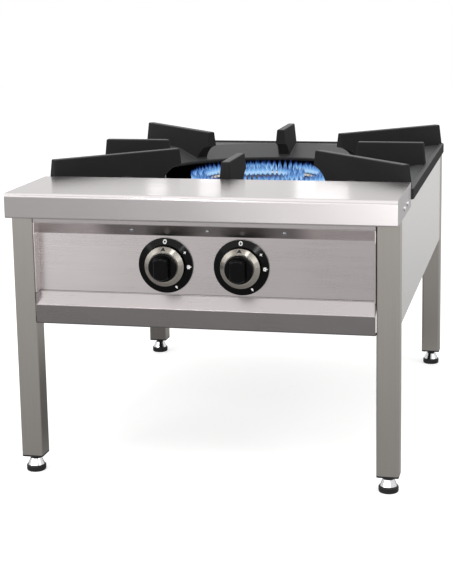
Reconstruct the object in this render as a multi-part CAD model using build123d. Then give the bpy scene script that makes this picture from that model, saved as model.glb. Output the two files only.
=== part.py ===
from build123d import *
import math
import os

os.makedirs("parts", exist_ok=True)

# A low floor-standing gas stove with one double-ring burner, in millimetres.
# +Z is up, the front faces -Y, and the origin is on the floor under the middle of the stove.

# Body, measured over the legs
BODY_WIDTH = 700.0
BODY_DEPTH = 890.0
SHEET = 1.5  # stainless sheet of the panels and the ledge
FOLD_RADIUS = 1.5  # inside radius of a fold in the sheet

# Legs, square tube
LEG_TUBE = 40.0
LEG_WALL = 2.0
LEG_CORNER = 4.0

# Leg end plugs and adjustable feet
FOOT_HEIGHT = 31.0  # floor to the underside of the plug
FOOT_TRAVEL = 20.0  # how far a foot screws out
FOOT_BASE_RADIUS = 18.0
FOOT_BASE_HEIGHT = 12.0
FOOT_BASE_ROUND = 3.0
FOOT_CONE_RADIUS = 15.5  # lower radius of the chrome cone
FOOT_CONE_TOP_RADIUS = 10.5
FOOT_CONE_HEIGHT = 12.0
FOOT_NECK_RADIUS = 8.0
STUD_RADIUS = 5.0
STUD_SPARE = 2.0  # stud left above the plug when the foot is screwed right out
PLUG_FLANGE = 3.0
PLUG_DEPTH = 25.0
PLUG_CLEARANCE = 0.2
THREAD_CLEARANCE = 0.05
COLLAR_CLEARANCE = 0.1  # between fixed round pieces, one inside the other

# Front ledge
LEDGE_BOTTOM = 485.0  # height of its underside and of the front legs' tops
LEDGE_HEIGHT = 45.0
LEDGE_OVERHANG = 30.0  # in front of the legs
LEDGE_FRONT_LIP = 50.0  # folded in under the front
LEDGE_FOLD = 6.0  # inside radius of its front top fold
LEDGE_SCREW_HEIGHT = 15.0  # above the underside
LEDGE_SCREW_SHARES = (0.39, 0.68)  # of the way from the legs' front to the ledge's back
SCREW_HEAD_RADIUS = 4.5
SCREW_HEAD_HEIGHT = 2.0
SCREW_SHANK_RADIUS = 2.0
SCREW_SHANK_LENGTH = 8.0

# Control panel, a folded sheet between the front legs
PANEL_END_GAP = 1.0
PANEL_TOP_FLANGE = 12.0  # upright strip under the ledge
PANEL_RECESS = 22.0  # depth of the face behind the legs' front, and drop of each 45 degree slope
PANEL_FACE = 107.0  # height of the flat face
PANEL_APRON = 35.0  # upright strip below the face
PANEL_RETURN = 20.0  # folded in at the top and bottom

# Side and rear panels
SIDE_BOTTOM = 301.0
SIDE_INSET = 1.0  # panels sit this far inside the legs' outer faces
SIDE_LIP = 20.0  # folded in at the bottom
SEAT_WIDTH = 35.0  # folded in at the top, to carry the grate
SEAT_RISE = 12.0  # grate seat above the ledge's underside

# Cross rail under the front edge of the grate
RAIL_TUBE = 25.0
RAIL_WALL = 2.0

# Grate: a square dished casting with upright ribs
GRATE_OVERHANG = 4.0  # past the legs at the sides and rear
GRATE_GAP = 2.0  # behind the ledge
GRATE_CORNER = 14.0
RIM_HEIGHT = 20.0
RIM_WIDTH = 10.0
RIM_ROUND = 2.5
RIM_LIP = 3.0  # rim above the flat of the plate
PLATE_THICKNESS = 8.0
DISH_RADIUS = 330.0
DISH_DROP = 19.0
HOLE_RADIUS = 228.0
HOLE_CHAMFER = 2.0
HOLE_EDGE = 3.5  # thickness of the plate at the hole
HOLE_UNDERCUT = 9.0  # width over which it thins underneath
RIB_RISE = 43.0  # above the rim
RIB_THICKNESS = 16.0  # at the top
RIB_DRAFT = 5.0  # degrees, on the faces and the ends
RIB_INSET = 14.0  # outer ends of the ribs' tops inside the edge of the casting
RIB_TIP_RADIUS = 201.0  # inner ends of the ribs, from the middle
RIB_TIP_HEIGHT = 31.0
RIB_FOOT_SETBACK = 22.0  # where a rib's undercut meets the plate, from the hole
RIB_HOLLOW = 8.0  # depth of the curved undercut
RIB_ROUND = 3.0

# Burner rings
BURNER_DROP = 19.0  # top of the rings below the grate seat
RING_HEIGHT = 34.0
RING_WALL = 6.0
RING_CHAMFER = 4.0
OUTER_RING_RADIUS = 137.0  # at the middle of the ring
OUTER_RING_WIDTH = 44.0
INNER_RING_RADIUS = 76.0
INNER_RING_WIDTH = 44.0
PORT_SPACING = 12.0  # round the middle of a ring
PORT_RADIUS = 1.5
PORT_ROW_OFFSET = 8.5
RISER_RADIUS = 17.0
MIXER_RADIUS = 18.0
MIXER_WALL = 4.5
MOUTH_RADIUS = 25.0
MOUTH_LENGTH = 34.0
MOUTH_TAPER = 20.0
BAR_WIDTH = 25.0
BAR_THICKNESS = 6.0
BAR_TAB = 40.0  # height of the turned-up ends
BOLT_RADIUS = 3.0
BOLT_FLATS = 10.0
BOLT_HEAD_HEIGHT = 4.0
BOLT_GRIP = 4.0  # bolt in the floor of a ring
BOLT_CLEARANCE = 0.2
SHUTTER_WALL = 2.5
SHUTTER_LENGTH = 24.0
SHUTTER_SETBACK = 2.0
SLIDING_CLEARANCE = 0.08

# Taps, measured along the spindle from the front of the panel's face
TAP_SPACING = 138.0
FULL_FLAME_TURN = 97.0  # degrees clockwise from off to the large flame mark
BONNET_WIDTH = 46.0
BONNET_HEIGHT = 34.0
BONNET_CORNER = 6.0
BONNET_THICKNESS = 5.0
BONNET_SCREW_OFFSET = 17.0
BONNET_SCREW_GRIP = 6.0  # screw inside the tap's flange
TAP_RADIUS = 16.0
TAP_FLANGE = 8.0
TAP_END_WALL = 24.0  # metal behind the plug
TAP_OUTLET_RADIUS = 4.0
TAP_INLET_RADIUS = 9.0
PLUG_RADIUS = 11.0
PLUG_END_GAP = 0.5
PLUG_PORT_RADIUS = 3.0
PLUG_LAND = 5.5  # solid metal on each side of the gas port
RUNNING_CLEARANCE = 0.05
SPINDLE_RADIUS = 4.0
SPINDLE_FLAT = 3.0  # from the axis to the flat of the spindle
SPINDLE_HOLE = 9.0  # hole radius in the panel and the dial
SPINDLE_DEPTH = 14.0  # length of the spindle inside the plug
SPRING_LENGTH = 14.0
SPRING_WALL = 1.0
SPRING_CLEARANCE = 0.3
MAGNET_RADIUS = 8.0
MAGNET_LENGTH = 40.0
MAGNET_OFFSET = 32.0  # flame-failure magnet beside the plug, towards the middle of the stove
MAGNET_WEB = 12.0
INJECTOR_FLATS = 17.0
INJECTOR_HEX = 8.0
INJECTOR_THREAD_RADIUS = 6.0
INJECTOR_THREAD = 8.0
INJECTOR_NOSE_RADIUS = 4.5
INJECTOR_NOSE = 13.0
INJECTOR_BORE = 1.2
INJECTOR_ENTRY = 3.0  # nose inside the mixing tube's mouth

# Dial and knob, measured forward from the panel's face
DIAL_RADIUS = 50.0
DIAL_EDGE = 3.0
DIAL_HEIGHT = 6.0
DIAL_FLAT_RADIUS = 38.0
DIAL_WALL = 2.0
PUSH_TRAVEL = 4.0
PUSH_SPARE = 1.0  # left between the dial and a knob that is pushed in
SKIRT_RADIUS = 36.0
SKIRT_EDGE = 3.0
SKIRT_TOP_RADIUS = 28.0
SKIRT_HEIGHT = 9.0
SKIRT_WALL = 2.0
HUB_RADIUS = 19.0
GRIP_RADIUS = 26.0
GRIP_DISC = 8.0
GRIP_BAR_WIDTH = 27.0
GRIP_BAR_LENGTH = 42.0
GRIP_BAR_HEIGHT = 14.0
GRIP_BAR_ROUND = 5.0
GRIP_ROUND = 3.0
SPINDLE_GRIP = 18.0  # spindle inside the knob

# Gas pipes
PIPE_RADIUS = 10.65
PIPE_BORE = 8.0
PIPE_BEND = 40.0
PIPE_END_WALL = 4.0
MANIFOLD_DROP = 42.0  # pipe below the spindles
MANIFOLD_END = 45.0  # pipe past the outer taps
BOSS_RADIUS = 12.0
BOSS_HEIGHT = 7.0  # above the pipe
SUPPLY_INSET = 90.0  # supply pipe inside the legs' outer faces
INLET_REACH = 26.0  # end of the inlet behind the rear legs
INLET_RADIUS = 10.48  # half inch pipe thread
INLET_BORE = 7.0
INLET_SHANK_RADIUS = 12.0  # through the rear panel and the locknut
INLET_SHANK_SPARE = 1.0  # shank behind the locknut
INLET_FLATS = 32.0
INLET_HEX = 10.0
LOCKNUT_THICKNESS = 6.0
INLET_CLEARANCE = 0.3
CLIP_WALL = 3.0
CLIP_WIDTH = 20.0
CLIP_FOOT = 30.0

# Thermocouples
LEAD_RADIUS = 1.5
LEAD_BEND = 20.0
PROBE_RADIUS = 3.0
PROBE_LENGTH = 28.0
PROBE_RISE = 2.0  # tip above the ring
PROBE_GAP = 9.0  # probe axis from the ring's wall
PROBE_CLEARANCE = 0.3
PROBE_BRACKET = 6.0

# Places worked out from the sizes above
HALF_WIDTH = BODY_WIDTH / 2
LEDGE_FRONT_Y = -(LEDGE_OVERHANG + BODY_DEPTH + INLET_REACH) / 2
FRONT_Y = LEDGE_FRONT_Y + LEDGE_OVERHANG
REAR_Y = FRONT_Y + BODY_DEPTH
LEG_BOTTOM = FOOT_HEIGHT + PLUG_FLANGE
LEG_CENTRE_X = HALF_WIDTH - LEG_TUBE / 2
BETWEEN_LEGS_X = HALF_WIDTH - LEG_TUBE
LEDGE_TOP = LEDGE_BOTTOM + LEDGE_HEIGHT
SEAT_Z = LEDGE_BOTTOM + SEAT_RISE
RIM_TOP = SEAT_Z + RIM_HEIGHT
RIB_TOP = RIM_TOP + RIB_RISE
GRATE_SIZE = BODY_WIDTH + 2 * GRATE_OVERHANG
GRATE_Y = REAR_Y + GRATE_OVERHANG - GRATE_SIZE / 2
LEDGE_BACK_Y = GRATE_Y - GRATE_SIZE / 2 - GRATE_GAP
FACE_Y = FRONT_Y + PANEL_RECESS
FACE_TOP = LEDGE_BOTTOM - PANEL_TOP_FLANGE - PANEL_RECESS
FACE_BOTTOM = FACE_TOP - PANEL_FACE
APRON_TOP = FACE_BOTTOM - PANEL_RECESS
APRON_BOTTOM = APRON_TOP - PANEL_APRON
KNOB_Z = (FACE_TOP + FACE_BOTTOM) / 2
SIDE_OUTER_X = HALF_WIDTH - SIDE_INSET
SIDE_INNER_X = SIDE_OUTER_X - SHEET
SIDE_FRONT_Y = FRONT_Y + LEG_TUBE
SIDE_REAR_Y = REAR_Y - LEG_TUBE
RING_TOP = SEAT_Z - BURNER_DROP
RING_BOTTOM = RING_TOP - RING_HEIGHT
BAR_BOTTOM = RING_BOTTOM - BAR_THICKNESS
BAR_OFFSET = INNER_RING_RADIUS  # the bars pass under the front and rear of the inner ring
BONNET_BACK = SHEET + BONNET_THICKNESS
PLUG_FRONT = BONNET_BACK + PLUG_END_GAP
SPINDLE_TIP = PLUG_FRONT + SPINDLE_DEPTH
SPRING_BACK = SPINDLE_TIP + SPRING_LENGTH
PORT_DEPTH = SPRING_BACK + PLUG_LAND + PLUG_PORT_RADIUS
PLUG_BACK = PORT_DEPTH + PLUG_PORT_RADIUS + PLUG_LAND
PLUG_BORE_BACK = PLUG_BACK + PLUG_END_GAP
TAP_BACK = PLUG_BORE_BACK + TAP_END_WALL
MAGNET_BACK = PORT_DEPTH + MAGNET_LENGTH / 2
NOSE_FRONT = TAP_BACK + INJECTOR_HEX
MOUTH_DEPTH = NOSE_FRONT + INJECTOR_NOSE - INJECTOR_ENTRY
MANIFOLD_Y = FACE_Y + PORT_DEPTH
MANIFOLD_Z = KNOB_Z - MANIFOLD_DROP
MANIFOLD_X = TAP_SPACING / 2 + MANIFOLD_END
SUPPLY_X = HALF_WIDTH - SUPPLY_INSET
BOSS_TOP = MANIFOLD_Z + PIPE_RADIUS + BOSS_HEIGHT
SKIRT_BACK = DIAL_HEIGHT + PUSH_TRAVEL + PUSH_SPARE
SKIRT_FRONT = SKIRT_BACK + SKIRT_HEIGHT
GRIP_FACE = SKIRT_FRONT + GRIP_DISC
PROBE_TOP = RING_TOP + PROBE_RISE
PROBE_BOTTOM = PROBE_TOP - PROBE_LENGTH
SIDES = {"left": -1, "right": 1}
ENDS = {"front": -1, "rear": 1}
TAP_X = {name: sign * TAP_SPACING / 2 for name, sign in SIDES.items()}
REAR_PANEL_Y = REAR_Y - SIDE_INSET  # its outer face
INLET_HEX_Y = REAR_PANEL_Y - SHEET - INLET_HEX  # front of the inlet's hexagon


# Helpers

def block(x0, x1, y0, y1, z0, z1):
    """Box between two corners."""
    return Pos((x0 + x1) / 2, (y0 + y1) / 2, (z0 + z1) / 2) * Box(x1 - x0, y1 - y0, z1 - z0)


def upright(radius, z0, z1):
    """Cylinder along Z between two heights."""
    return Pos(0, 0, (z0 + z1) / 2) * Cylinder(radius, z1 - z0)


def tube(radius, bore, z0, z1):
    """Round tube along Z between two heights."""
    return upright(radius, z0, z1) - upright(bore, z0, z1)


def prism(sketch, z0, z1):
    """A sketch drawn up between two heights."""
    return Pos(0, 0, z0) * extrude(sketch, amount=z1 - z0)


def polygon(points):
    """Face inside a closed run of points."""
    return make_face(Polyline(*points, close=True))


def turned(points):
    """Solid of revolution about Z, from points of radius and height."""
    return revolve(Plane.XZ * polygon(points), axis=Axis.Z)


def across(section, x0, x1):
    """A section drawn in Y and Z, carried along X."""
    return Pos(x0, 0, 0) * extrude(Plane.YZ * section, amount=x1 - x0)


def hexagon(flats, z0, z1):
    """Hexagonal bar along Z."""
    return prism(RegularPolygon(flats / 2, 6, major_radius=False), z0, z1)


def folded_section(points, radii):
    """Section of a folded sheet: the points run along one face, and the sheet lies on their left."""
    count = len(points)
    normals = []
    for (u0, v0), (u1, v1) in zip(points, points[1:]):
        length = math.hypot(u1 - u0, v1 - v0)
        normals.append(((v0 - v1) / length, (u1 - u0) / length))
    inner = []
    near_radii = []
    far_radii = []
    for i, (u, v) in enumerate(points):
        before = normals[max(i - 1, 0)]
        after = normals[min(i, count - 2)]
        reach = SHEET / (1 + before[0] * after[0] + before[1] * after[1])
        inner.append((u + reach * (before[0] + after[0]), v + reach * (before[1] + after[1])))
        if 0 < i < count - 1:
            turns_left = before[0] * after[1] - before[1] * after[0] > 0
            near_radii.append(radii[i - 1] + (SHEET if turns_left else 0))
            far_radii.append(radii[i - 1] + (0 if turns_left else SHEET))
    edges = [
        *FilletPolyline(*points, radius=near_radii).edges(),
        *FilletPolyline(*inner, radius=far_radii).edges(),
        Line(points[0], inner[0]),
        Line(points[-1], inner[-1]),
    ]
    return make_face(edges)


def at_tap(part, name):
    """Places a piece made about the spindle: its local Z runs forward from the panel's face, its Y up."""
    return Plane((TAP_X[name], FACE_Y, KNOB_Z), x_dir=(1, 0, 0), z_dir=(0, -1, 0)).location * part


def rearward(part):
    """Places a piece made along the supply pipe: its local Z runs to the rear, and is the stove's Y."""
    return Pos(SUPPLY_X, 0, MANIFOLD_Z) * Rot(-90, 0, 0) * part


def at_burner(part):
    """Places a piece made about the middle of the burner and grate."""
    return Pos(0, GRATE_Y, 0) * part


def save(part, name):
    """Writes one piece."""
    part.label = name
    export_step(part, f"parts/{name}.step")


# Legs, plugs and feet

def leg(top):
    """Square tube, drawn about its own middle."""
    outer = RectangleRounded(LEG_TUBE, LEG_TUBE, LEG_CORNER)
    bore = LEG_TUBE - 2 * LEG_WALL
    inner = RectangleRounded(bore, bore, LEG_CORNER - LEG_WALL)
    return prism(outer - inner, LEG_BOTTOM, top)


def leg_plug():
    """Plastic plug with a flange under the tube and a threaded hole for the foot."""
    size = LEG_TUBE - 2 * LEG_WALL - 2 * PLUG_CLEARANCE
    flange = prism(RectangleRounded(LEG_TUBE, LEG_TUBE, LEG_CORNER), FOOT_HEIGHT, LEG_BOTTOM)
    insert = prism(
        RectangleRounded(size, size, LEG_CORNER - LEG_WALL), LEG_BOTTOM, LEG_BOTTOM + PLUG_DEPTH
    )
    hole = upright(STUD_RADIUS + THREAD_CLEARANCE, FOOT_HEIGHT, LEG_BOTTOM + PLUG_DEPTH)
    return flange + insert - hole


def foot_body():
    """Base, neck and threaded stud of a foot, seated against the plug."""
    base = upright(FOOT_BASE_RADIUS, 0, FOOT_BASE_HEIGHT)
    base = fillet(base.edges().filter_by(GeomType.CIRCLE), FOOT_BASE_ROUND)
    neck = upright(FOOT_NECK_RADIUS, FOOT_BASE_HEIGHT, FOOT_HEIGHT)
    stud_top = LEG_BOTTOM + PLUG_DEPTH + FOOT_TRAVEL + STUD_SPARE
    return base + neck + upright(STUD_RADIUS, FOOT_HEIGHT, stud_top)


def foot_cone():
    """Chrome cone on the neck of a foot."""
    bore = FOOT_NECK_RADIUS + COLLAR_CLEARANCE
    top = FOOT_BASE_HEIGHT + FOOT_CONE_HEIGHT
    return turned([
        (bore, FOOT_BASE_HEIGHT),
        (FOOT_CONE_RADIUS, FOOT_BASE_HEIGHT),
        (FOOT_CONE_TOP_RADIUS, top),
        (bore, top),
    ])


def make_legs():
    for end_name, end in ENDS.items():
        y = FRONT_Y + LEG_TUBE / 2 if end < 0 else REAR_Y - LEG_TUBE / 2
        top = LEDGE_BOTTOM if end < 0 else SEAT_Z
        for side_name, side in SIDES.items():
            place = Pos(side * LEG_CENTRE_X, y, 0)
            corner = f"{end_name}_{side_name}"
            save(place * leg(top), f"leg_{corner}")
            save(place * leg_plug(), f"leg_plug_{corner}")
            save(place * foot_body(), f"foot_{corner}")
            save(place * foot_cone(), f"foot_cone_{corner}")


# Ledge, panels and rails

def ledge_screw_places():
    """Screws in the ledge's end caps: side, place along Y."""
    depth = LEDGE_BACK_Y - FRONT_Y
    return [(side, FRONT_Y + share * depth) for side in SIDES.values() for share in LEDGE_SCREW_SHARES]


def make_ledge():
    section = folded_section(
        [
            (LEDGE_BACK_Y, LEDGE_BOTTOM),
            (LEDGE_BACK_Y, LEDGE_TOP),
            (LEDGE_FRONT_Y, LEDGE_TOP),
            (LEDGE_FRONT_Y, LEDGE_BOTTOM),
            (LEDGE_FRONT_Y + LEDGE_FRONT_LIP, LEDGE_BOTTOM),
        ],
        [FOLD_RADIUS, LEDGE_FOLD, FOLD_RADIUS],
    )
    ledge = across(section, -HALF_WIDTH, HALF_WIDTH)
    outline = Plane.YZ * make_face(FilletPolyline(
        (LEDGE_BACK_Y, LEDGE_BOTTOM),
        (LEDGE_BACK_Y, LEDGE_TOP),
        (LEDGE_FRONT_Y, LEDGE_TOP),
        (LEDGE_FRONT_Y, LEDGE_BOTTOM),
        radius=[0, FOLD_RADIUS + SHEET, LEDGE_FOLD + SHEET, FOLD_RADIUS + SHEET],
        close=True,
    ))
    cap = Pos(HALF_WIDTH - SHEET, 0, 0) * extrude(outline, amount=SHEET)
    lip = block(
        BETWEEN_LEGS_X, HALF_WIDTH,
        LEDGE_FRONT_Y + FOLD_RADIUS + SHEET, LEDGE_BACK_Y,
        LEDGE_BOTTOM, LEDGE_BOTTOM + SHEET,
    )
    end = cap + lip
    ledge = ledge + end + mirror(end, about=Plane.YZ)
    screws = []
    for side, y in ledge_screw_places():
        place = Pos(side * HALF_WIDTH, y, LEDGE_BOTTOM + LEDGE_SCREW_HEIGHT) * Rot(0, side * 90, 0)
        hole = upright(SCREW_SHANK_RADIUS + COLLAR_CLEARANCE, -2 * SHEET, SHEET)
        head = upright(SCREW_HEAD_RADIUS, 0, SCREW_HEAD_HEIGHT)
        head = fillet(head.edges().group_by(Axis.Z)[-1], SCREW_HEAD_HEIGHT / 2)
        ledge = ledge - place * hole
        screws.append(place * (head + upright(SCREW_SHANK_RADIUS, -SCREW_SHANK_LENGTH, 0)))
    save(ledge, "front_ledge")
    save(Compound(children=screws), "ledge_screws")


def make_control_panel():
    section = folded_section(
        [
            (FRONT_Y + PANEL_RETURN, LEDGE_BOTTOM),
            (FRONT_Y, LEDGE_BOTTOM),
            (FRONT_Y, LEDGE_BOTTOM - PANEL_TOP_FLANGE),
            (FACE_Y, FACE_TOP),
            (FACE_Y, FACE_BOTTOM),
            (FRONT_Y, APRON_TOP),
            (FRONT_Y, APRON_BOTTOM),
            (FRONT_Y + PANEL_RETURN, APRON_BOTTOM),
        ],
        [FOLD_RADIUS] * 6,
    )
    half = BETWEEN_LEGS_X - PANEL_END_GAP
    panel = across(section, -half, half)
    recess = polygon([
        (FRONT_Y, LEDGE_BOTTOM - PANEL_TOP_FLANGE),
        (FACE_Y + SHEET, FACE_TOP + SHEET),
        (FACE_Y + SHEET, FACE_BOTTOM - SHEET),
        (FRONT_Y, APRON_TOP),
    ])
    end = across(recess, half - SHEET, half)
    panel = panel + end + mirror(end, about=Plane.YZ)
    for name in SIDES:
        panel = panel - at_tap(upright(SPINDLE_HOLE, -2 * SHEET, SHEET), name)
        for hole in bonnet_screw_holes(COLLAR_CLEARANCE, -2 * SHEET, SHEET):
            panel = panel - at_tap(hole, name)
    save(panel, "control_panel")


def make_side_panels():
    sheet = across(
        polygon([
            (SIDE_FRONT_Y, SIDE_BOTTOM),
            (SIDE_REAR_Y, SIDE_BOTTOM),
            (SIDE_REAR_Y, SEAT_Z),
            (LEDGE_BACK_Y, SEAT_Z),
            (LEDGE_BACK_Y, LEDGE_BOTTOM),
            (SIDE_FRONT_Y, LEDGE_BOTTOM),
        ]),
        SIDE_INNER_X, SIDE_OUTER_X,
    )
    lip_x = SIDE_OUTER_X - SIDE_LIP
    seat_x = SIDE_OUTER_X - SEAT_WIDTH
    lip = block(lip_x, SIDE_OUTER_X, SIDE_FRONT_Y, SIDE_REAR_Y, SIDE_BOTTOM, SIDE_BOTTOM + SHEET)
    seat = block(seat_x, SIDE_OUTER_X, LEDGE_BACK_Y, SIDE_REAR_Y, SEAT_Z - SHEET, SEAT_Z)
    under_ledge = block(
        seat_x, SIDE_OUTER_X, SIDE_FRONT_Y, LEDGE_BACK_Y, LEDGE_BOTTOM - SHEET, LEDGE_BOTTOM
    )
    panel = sheet + lip + seat + under_ledge
    save(panel, "side_panel_right")
    save(mirror(panel, about=Plane.YZ), "side_panel_left")


def make_rear_panel():
    x = BETWEEN_LEGS_X
    y = REAR_PANEL_Y
    panel = block(-x, x, y - SHEET, y, SIDE_BOTTOM, SEAT_Z)
    panel = panel + block(-x, x, y - SIDE_LIP, y, SIDE_BOTTOM, SIDE_BOTTOM + SHEET)
    panel = panel + block(-x, x, y - SEAT_WIDTH, y, SEAT_Z - SHEET, SEAT_Z)
    hole = rearward(upright(INLET_SHANK_RADIUS + INLET_CLEARANCE, y - 2 * SHEET, y + SHEET))
    save(panel - hole, "rear_panel")


def make_cross_rail():
    half = SIDE_OUTER_X - SEAT_WIDTH
    outer = block(-half, half, LEDGE_BACK_Y, LEDGE_BACK_Y + RAIL_TUBE, SEAT_Z - RAIL_TUBE, SEAT_Z)
    inner = block(
        -half, half,
        LEDGE_BACK_Y + RAIL_WALL, LEDGE_BACK_Y + RAIL_TUBE - RAIL_WALL,
        SEAT_Z - RAIL_TUBE + RAIL_WALL, SEAT_Z - RAIL_WALL,
    )
    save(outer - inner, "front_cross_rail")


# Grate

def rib(outer_radius):
    """One upright rib along +X, drafted all round, with a curved undercut at its inner end."""
    draft = math.tan(math.radians(RIB_DRAFT))
    plate_z = RIM_TOP - RIM_LIP - PLATE_THICKNESS / 2
    foot_radius = HOLE_RADIUS + RIB_FOOT_SETBACK
    slope = DISH_DROP / (DISH_RADIUS - HOLE_RADIUS)
    foot_z = plate_z - (DISH_RADIUS - foot_radius) * slope
    tip = (RIB_TIP_RADIUS, RIB_TOP - RIB_TIP_HEIGHT)
    foot = (foot_radius, foot_z)
    chord = math.hypot(foot[0] - tip[0], foot[1] - tip[1])
    hollow = (
        (tip[0] + foot[0]) / 2 + RIB_HOLLOW * (tip[1] - foot[1]) / chord,
        (tip[1] + foot[1]) / 2 + RIB_HOLLOW * (foot[0] - tip[0]) / chord,
    )
    spread = RIB_TOP - foot_z
    base_radius = outer_radius + spread * draft
    base_width = RIB_THICKNESS + 2 * spread * draft
    outline = make_face([
        ThreePointArc(tip, hollow, foot),
        *Polyline(
            foot, (DISH_RADIUS, plate_z), (base_radius, plate_z), (base_radius, RIB_TOP),
            (RIB_TIP_RADIUS + RIB_TIP_HEIGHT * draft, RIB_TOP), tip,
        ).edges(),
    ])
    side = extrude(Plane.XZ * outline, amount=base_width, both=True)
    drafted = Pos(0, 0, foot_z) * extrude(
        Rectangle(2 * base_radius, base_width), amount=spread, taper=RIB_DRAFT
    )
    shape = side & drafted
    top = shape.faces().sort_by(Axis.Z)[-1]
    corners = top.vertices()
    uprights = [edge for edge in shape.edges() if sum(v in corners for v in edge.vertices()) == 1]
    return fillet([*top.edges(), *uprights], RIB_ROUND)


def make_grate():
    flat_z = RIM_TOP - RIM_LIP
    inner_size = GRATE_SIZE - 2 * RIM_WIDTH
    inner_corner = GRATE_CORNER - RIM_WIDTH
    outline = RectangleRounded(GRATE_SIZE, GRATE_SIZE, GRATE_CORNER)
    pocket = RectangleRounded(inner_size, inner_size, inner_corner)
    casting = prism(outline, SEAT_Z, RIM_TOP)
    casting = casting - prism(pocket, flat_z, RIM_TOP)
    casting = casting - prism(pocket, SEAT_Z, flat_z - PLATE_THICKNESS)
    casting = casting - upright(DISH_RADIUS, SEAT_Z, RIM_TOP)
    casting = fillet(casting.faces().sort_by(Axis.Z)[-1].outer_wire().edges(), RIM_ROUND)
    dish = turned([
        (DISH_RADIUS, flat_z - PLATE_THICKNESS),
        (DISH_RADIUS, flat_z),
        (HOLE_RADIUS + HOLE_CHAMFER, flat_z - DISH_DROP),
        (HOLE_RADIUS, flat_z - DISH_DROP - HOLE_CHAMFER),
        (HOLE_RADIUS, flat_z - DISH_DROP - HOLE_EDGE),
        (HOLE_RADIUS + HOLE_UNDERCUT, flat_z - DISH_DROP - PLATE_THICKNESS),
    ])
    casting = casting + dish
    reach = GRATE_SIZE / 2 - RIB_INSET
    side_rib = rib(reach)
    corner_rib = rib(reach * math.sqrt(2))
    for quarter in range(4):
        casting = casting + Rot(0, 0, 90 * quarter) * side_rib
        casting = casting + Rot(0, 0, 45 + 90 * quarter) * corner_rib
    save(at_burner(casting), "grate")


# Burner

def ring_shell(radius, width, wall):
    """Solid ring with chamfered top edges, drawn in by a wall."""
    r0 = radius - width / 2 + wall
    r1 = radius + width / 2 - wall
    z0 = RING_BOTTOM + wall
    z1 = RING_TOP - wall
    return turned([
        (r0, z0), (r1, z0), (r1, z1 - RING_CHAMFER), (r1 - RING_CHAMFER, z1),
        (r0 + RING_CHAMFER, z1), (r0, z1 - RING_CHAMFER),
    ])


def bolt_places(radius):
    """Where the support bars cross under the middle of a ring, from the middle of the burner."""
    x = math.sqrt(radius ** 2 - BAR_OFFSET ** 2)
    return {(side * x, end * BAR_OFFSET) for side in SIDES.values() for end in ENDS.values()}


def burner(radius, width, tap_name):
    """A ring with its ports, riser and mixing tube, cast in one."""
    x = TAP_X[tap_name]
    y = GRATE_Y - math.sqrt(max(radius ** 2 - x ** 2, 0))
    depth = y - FACE_Y
    bore = MIXER_RADIUS - MIXER_WALL
    mouth_bore = MOUTH_RADIUS - MIXER_WALL
    elbow = Pos(0, 0, -depth)
    riser = Pos(x, y, 0)

    mixer = upright(MIXER_RADIUS, -depth, -MOUTH_DEPTH) + elbow * Sphere(MIXER_RADIUS)
    mixer = mixer + upright(MOUTH_RADIUS, -MOUTH_DEPTH - MOUTH_LENGTH, -MOUTH_DEPTH)
    body = at_burner(ring_shell(radius, width, 0)) + at_tap(mixer, tap_name)
    body = body + riser * upright(RISER_RADIUS, KNOB_Z, RING_BOTTOM + RING_WALL)

    throat = turned([
        (0, -MOUTH_DEPTH), (mouth_bore, -MOUTH_DEPTH), (bore, -MOUTH_DEPTH - MOUTH_TAPER),
        (bore, -depth), (0, -depth),
    ])
    throat = throat + elbow * Sphere(bore)
    cavity = at_burner(ring_shell(radius, width, RING_WALL)) + at_tap(throat, tap_name)
    cavity = cavity + riser * upright(RISER_RADIUS - MIXER_WALL, KNOB_Z, RING_BOTTOM + 2 * RING_WALL)
    body = body - cavity

    ports = round(2 * math.pi * radius / PORT_SPACING)
    drill = upright(PORT_RADIUS, RING_TOP - 2 * RING_WALL, RING_TOP + RING_WALL)
    holes = []
    for row in (-1, 0, 1):
        for i in range(ports):
            turn = Rot(0, 0, (i + row / 3) * 360 / ports)
            holes.append(at_burner(turn * Pos(radius + row * PORT_ROW_OFFSET, 0, 0) * drill))
    hole_top = RING_BOTTOM + BOLT_GRIP + BOLT_CLEARANCE
    bolt_hole = upright(BOLT_RADIUS + BOLT_CLEARANCE, RING_BOTTOM, hole_top)
    for place in bolt_places(radius):
        holes.append(at_burner(Pos(*place) * bolt_hole))
    return body - holes


def make_burners():
    save(burner(OUTER_RING_RADIUS, OUTER_RING_WIDTH, "left"), "outer_burner")
    save(burner(INNER_RING_RADIUS, INNER_RING_WIDTH, "right"), "inner_burner")


def make_burner_bars():
    places = bolt_places(OUTER_RING_RADIUS) | bolt_places(INNER_RING_RADIUS)
    hole = upright(BOLT_RADIUS + BOLT_CLEARANCE, BAR_BOTTOM, RING_BOTTOM)
    bolt = hexagon(BOLT_FLATS, BAR_BOTTOM - BOLT_HEAD_HEIGHT, BAR_BOTTOM)
    bolt = bolt + upright(BOLT_RADIUS, BAR_BOTTOM, RING_BOTTOM + BOLT_GRIP)
    half = BAR_WIDTH / 2
    for name, end in ENDS.items():
        y = end * BAR_OFFSET
        bar = block(-SIDE_INNER_X, SIDE_INNER_X, y - half, y + half, BAR_BOTTOM, RING_BOTTOM)
        tab = block(
            SIDE_INNER_X - BAR_THICKNESS, SIDE_INNER_X, y - half, y + half,
            BAR_BOTTOM, BAR_BOTTOM + BAR_TAB,
        )
        bar = bar + tab + mirror(tab, about=Plane.YZ)
        bar = bar - [Pos(*place) * hole for place in places if place[1] == y]
        save(at_burner(bar), f"burner_bar_{name}")
    save(Compound(children=[at_burner(Pos(*place) * bolt) for place in sorted(places)]), "burner_bolts")


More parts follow.
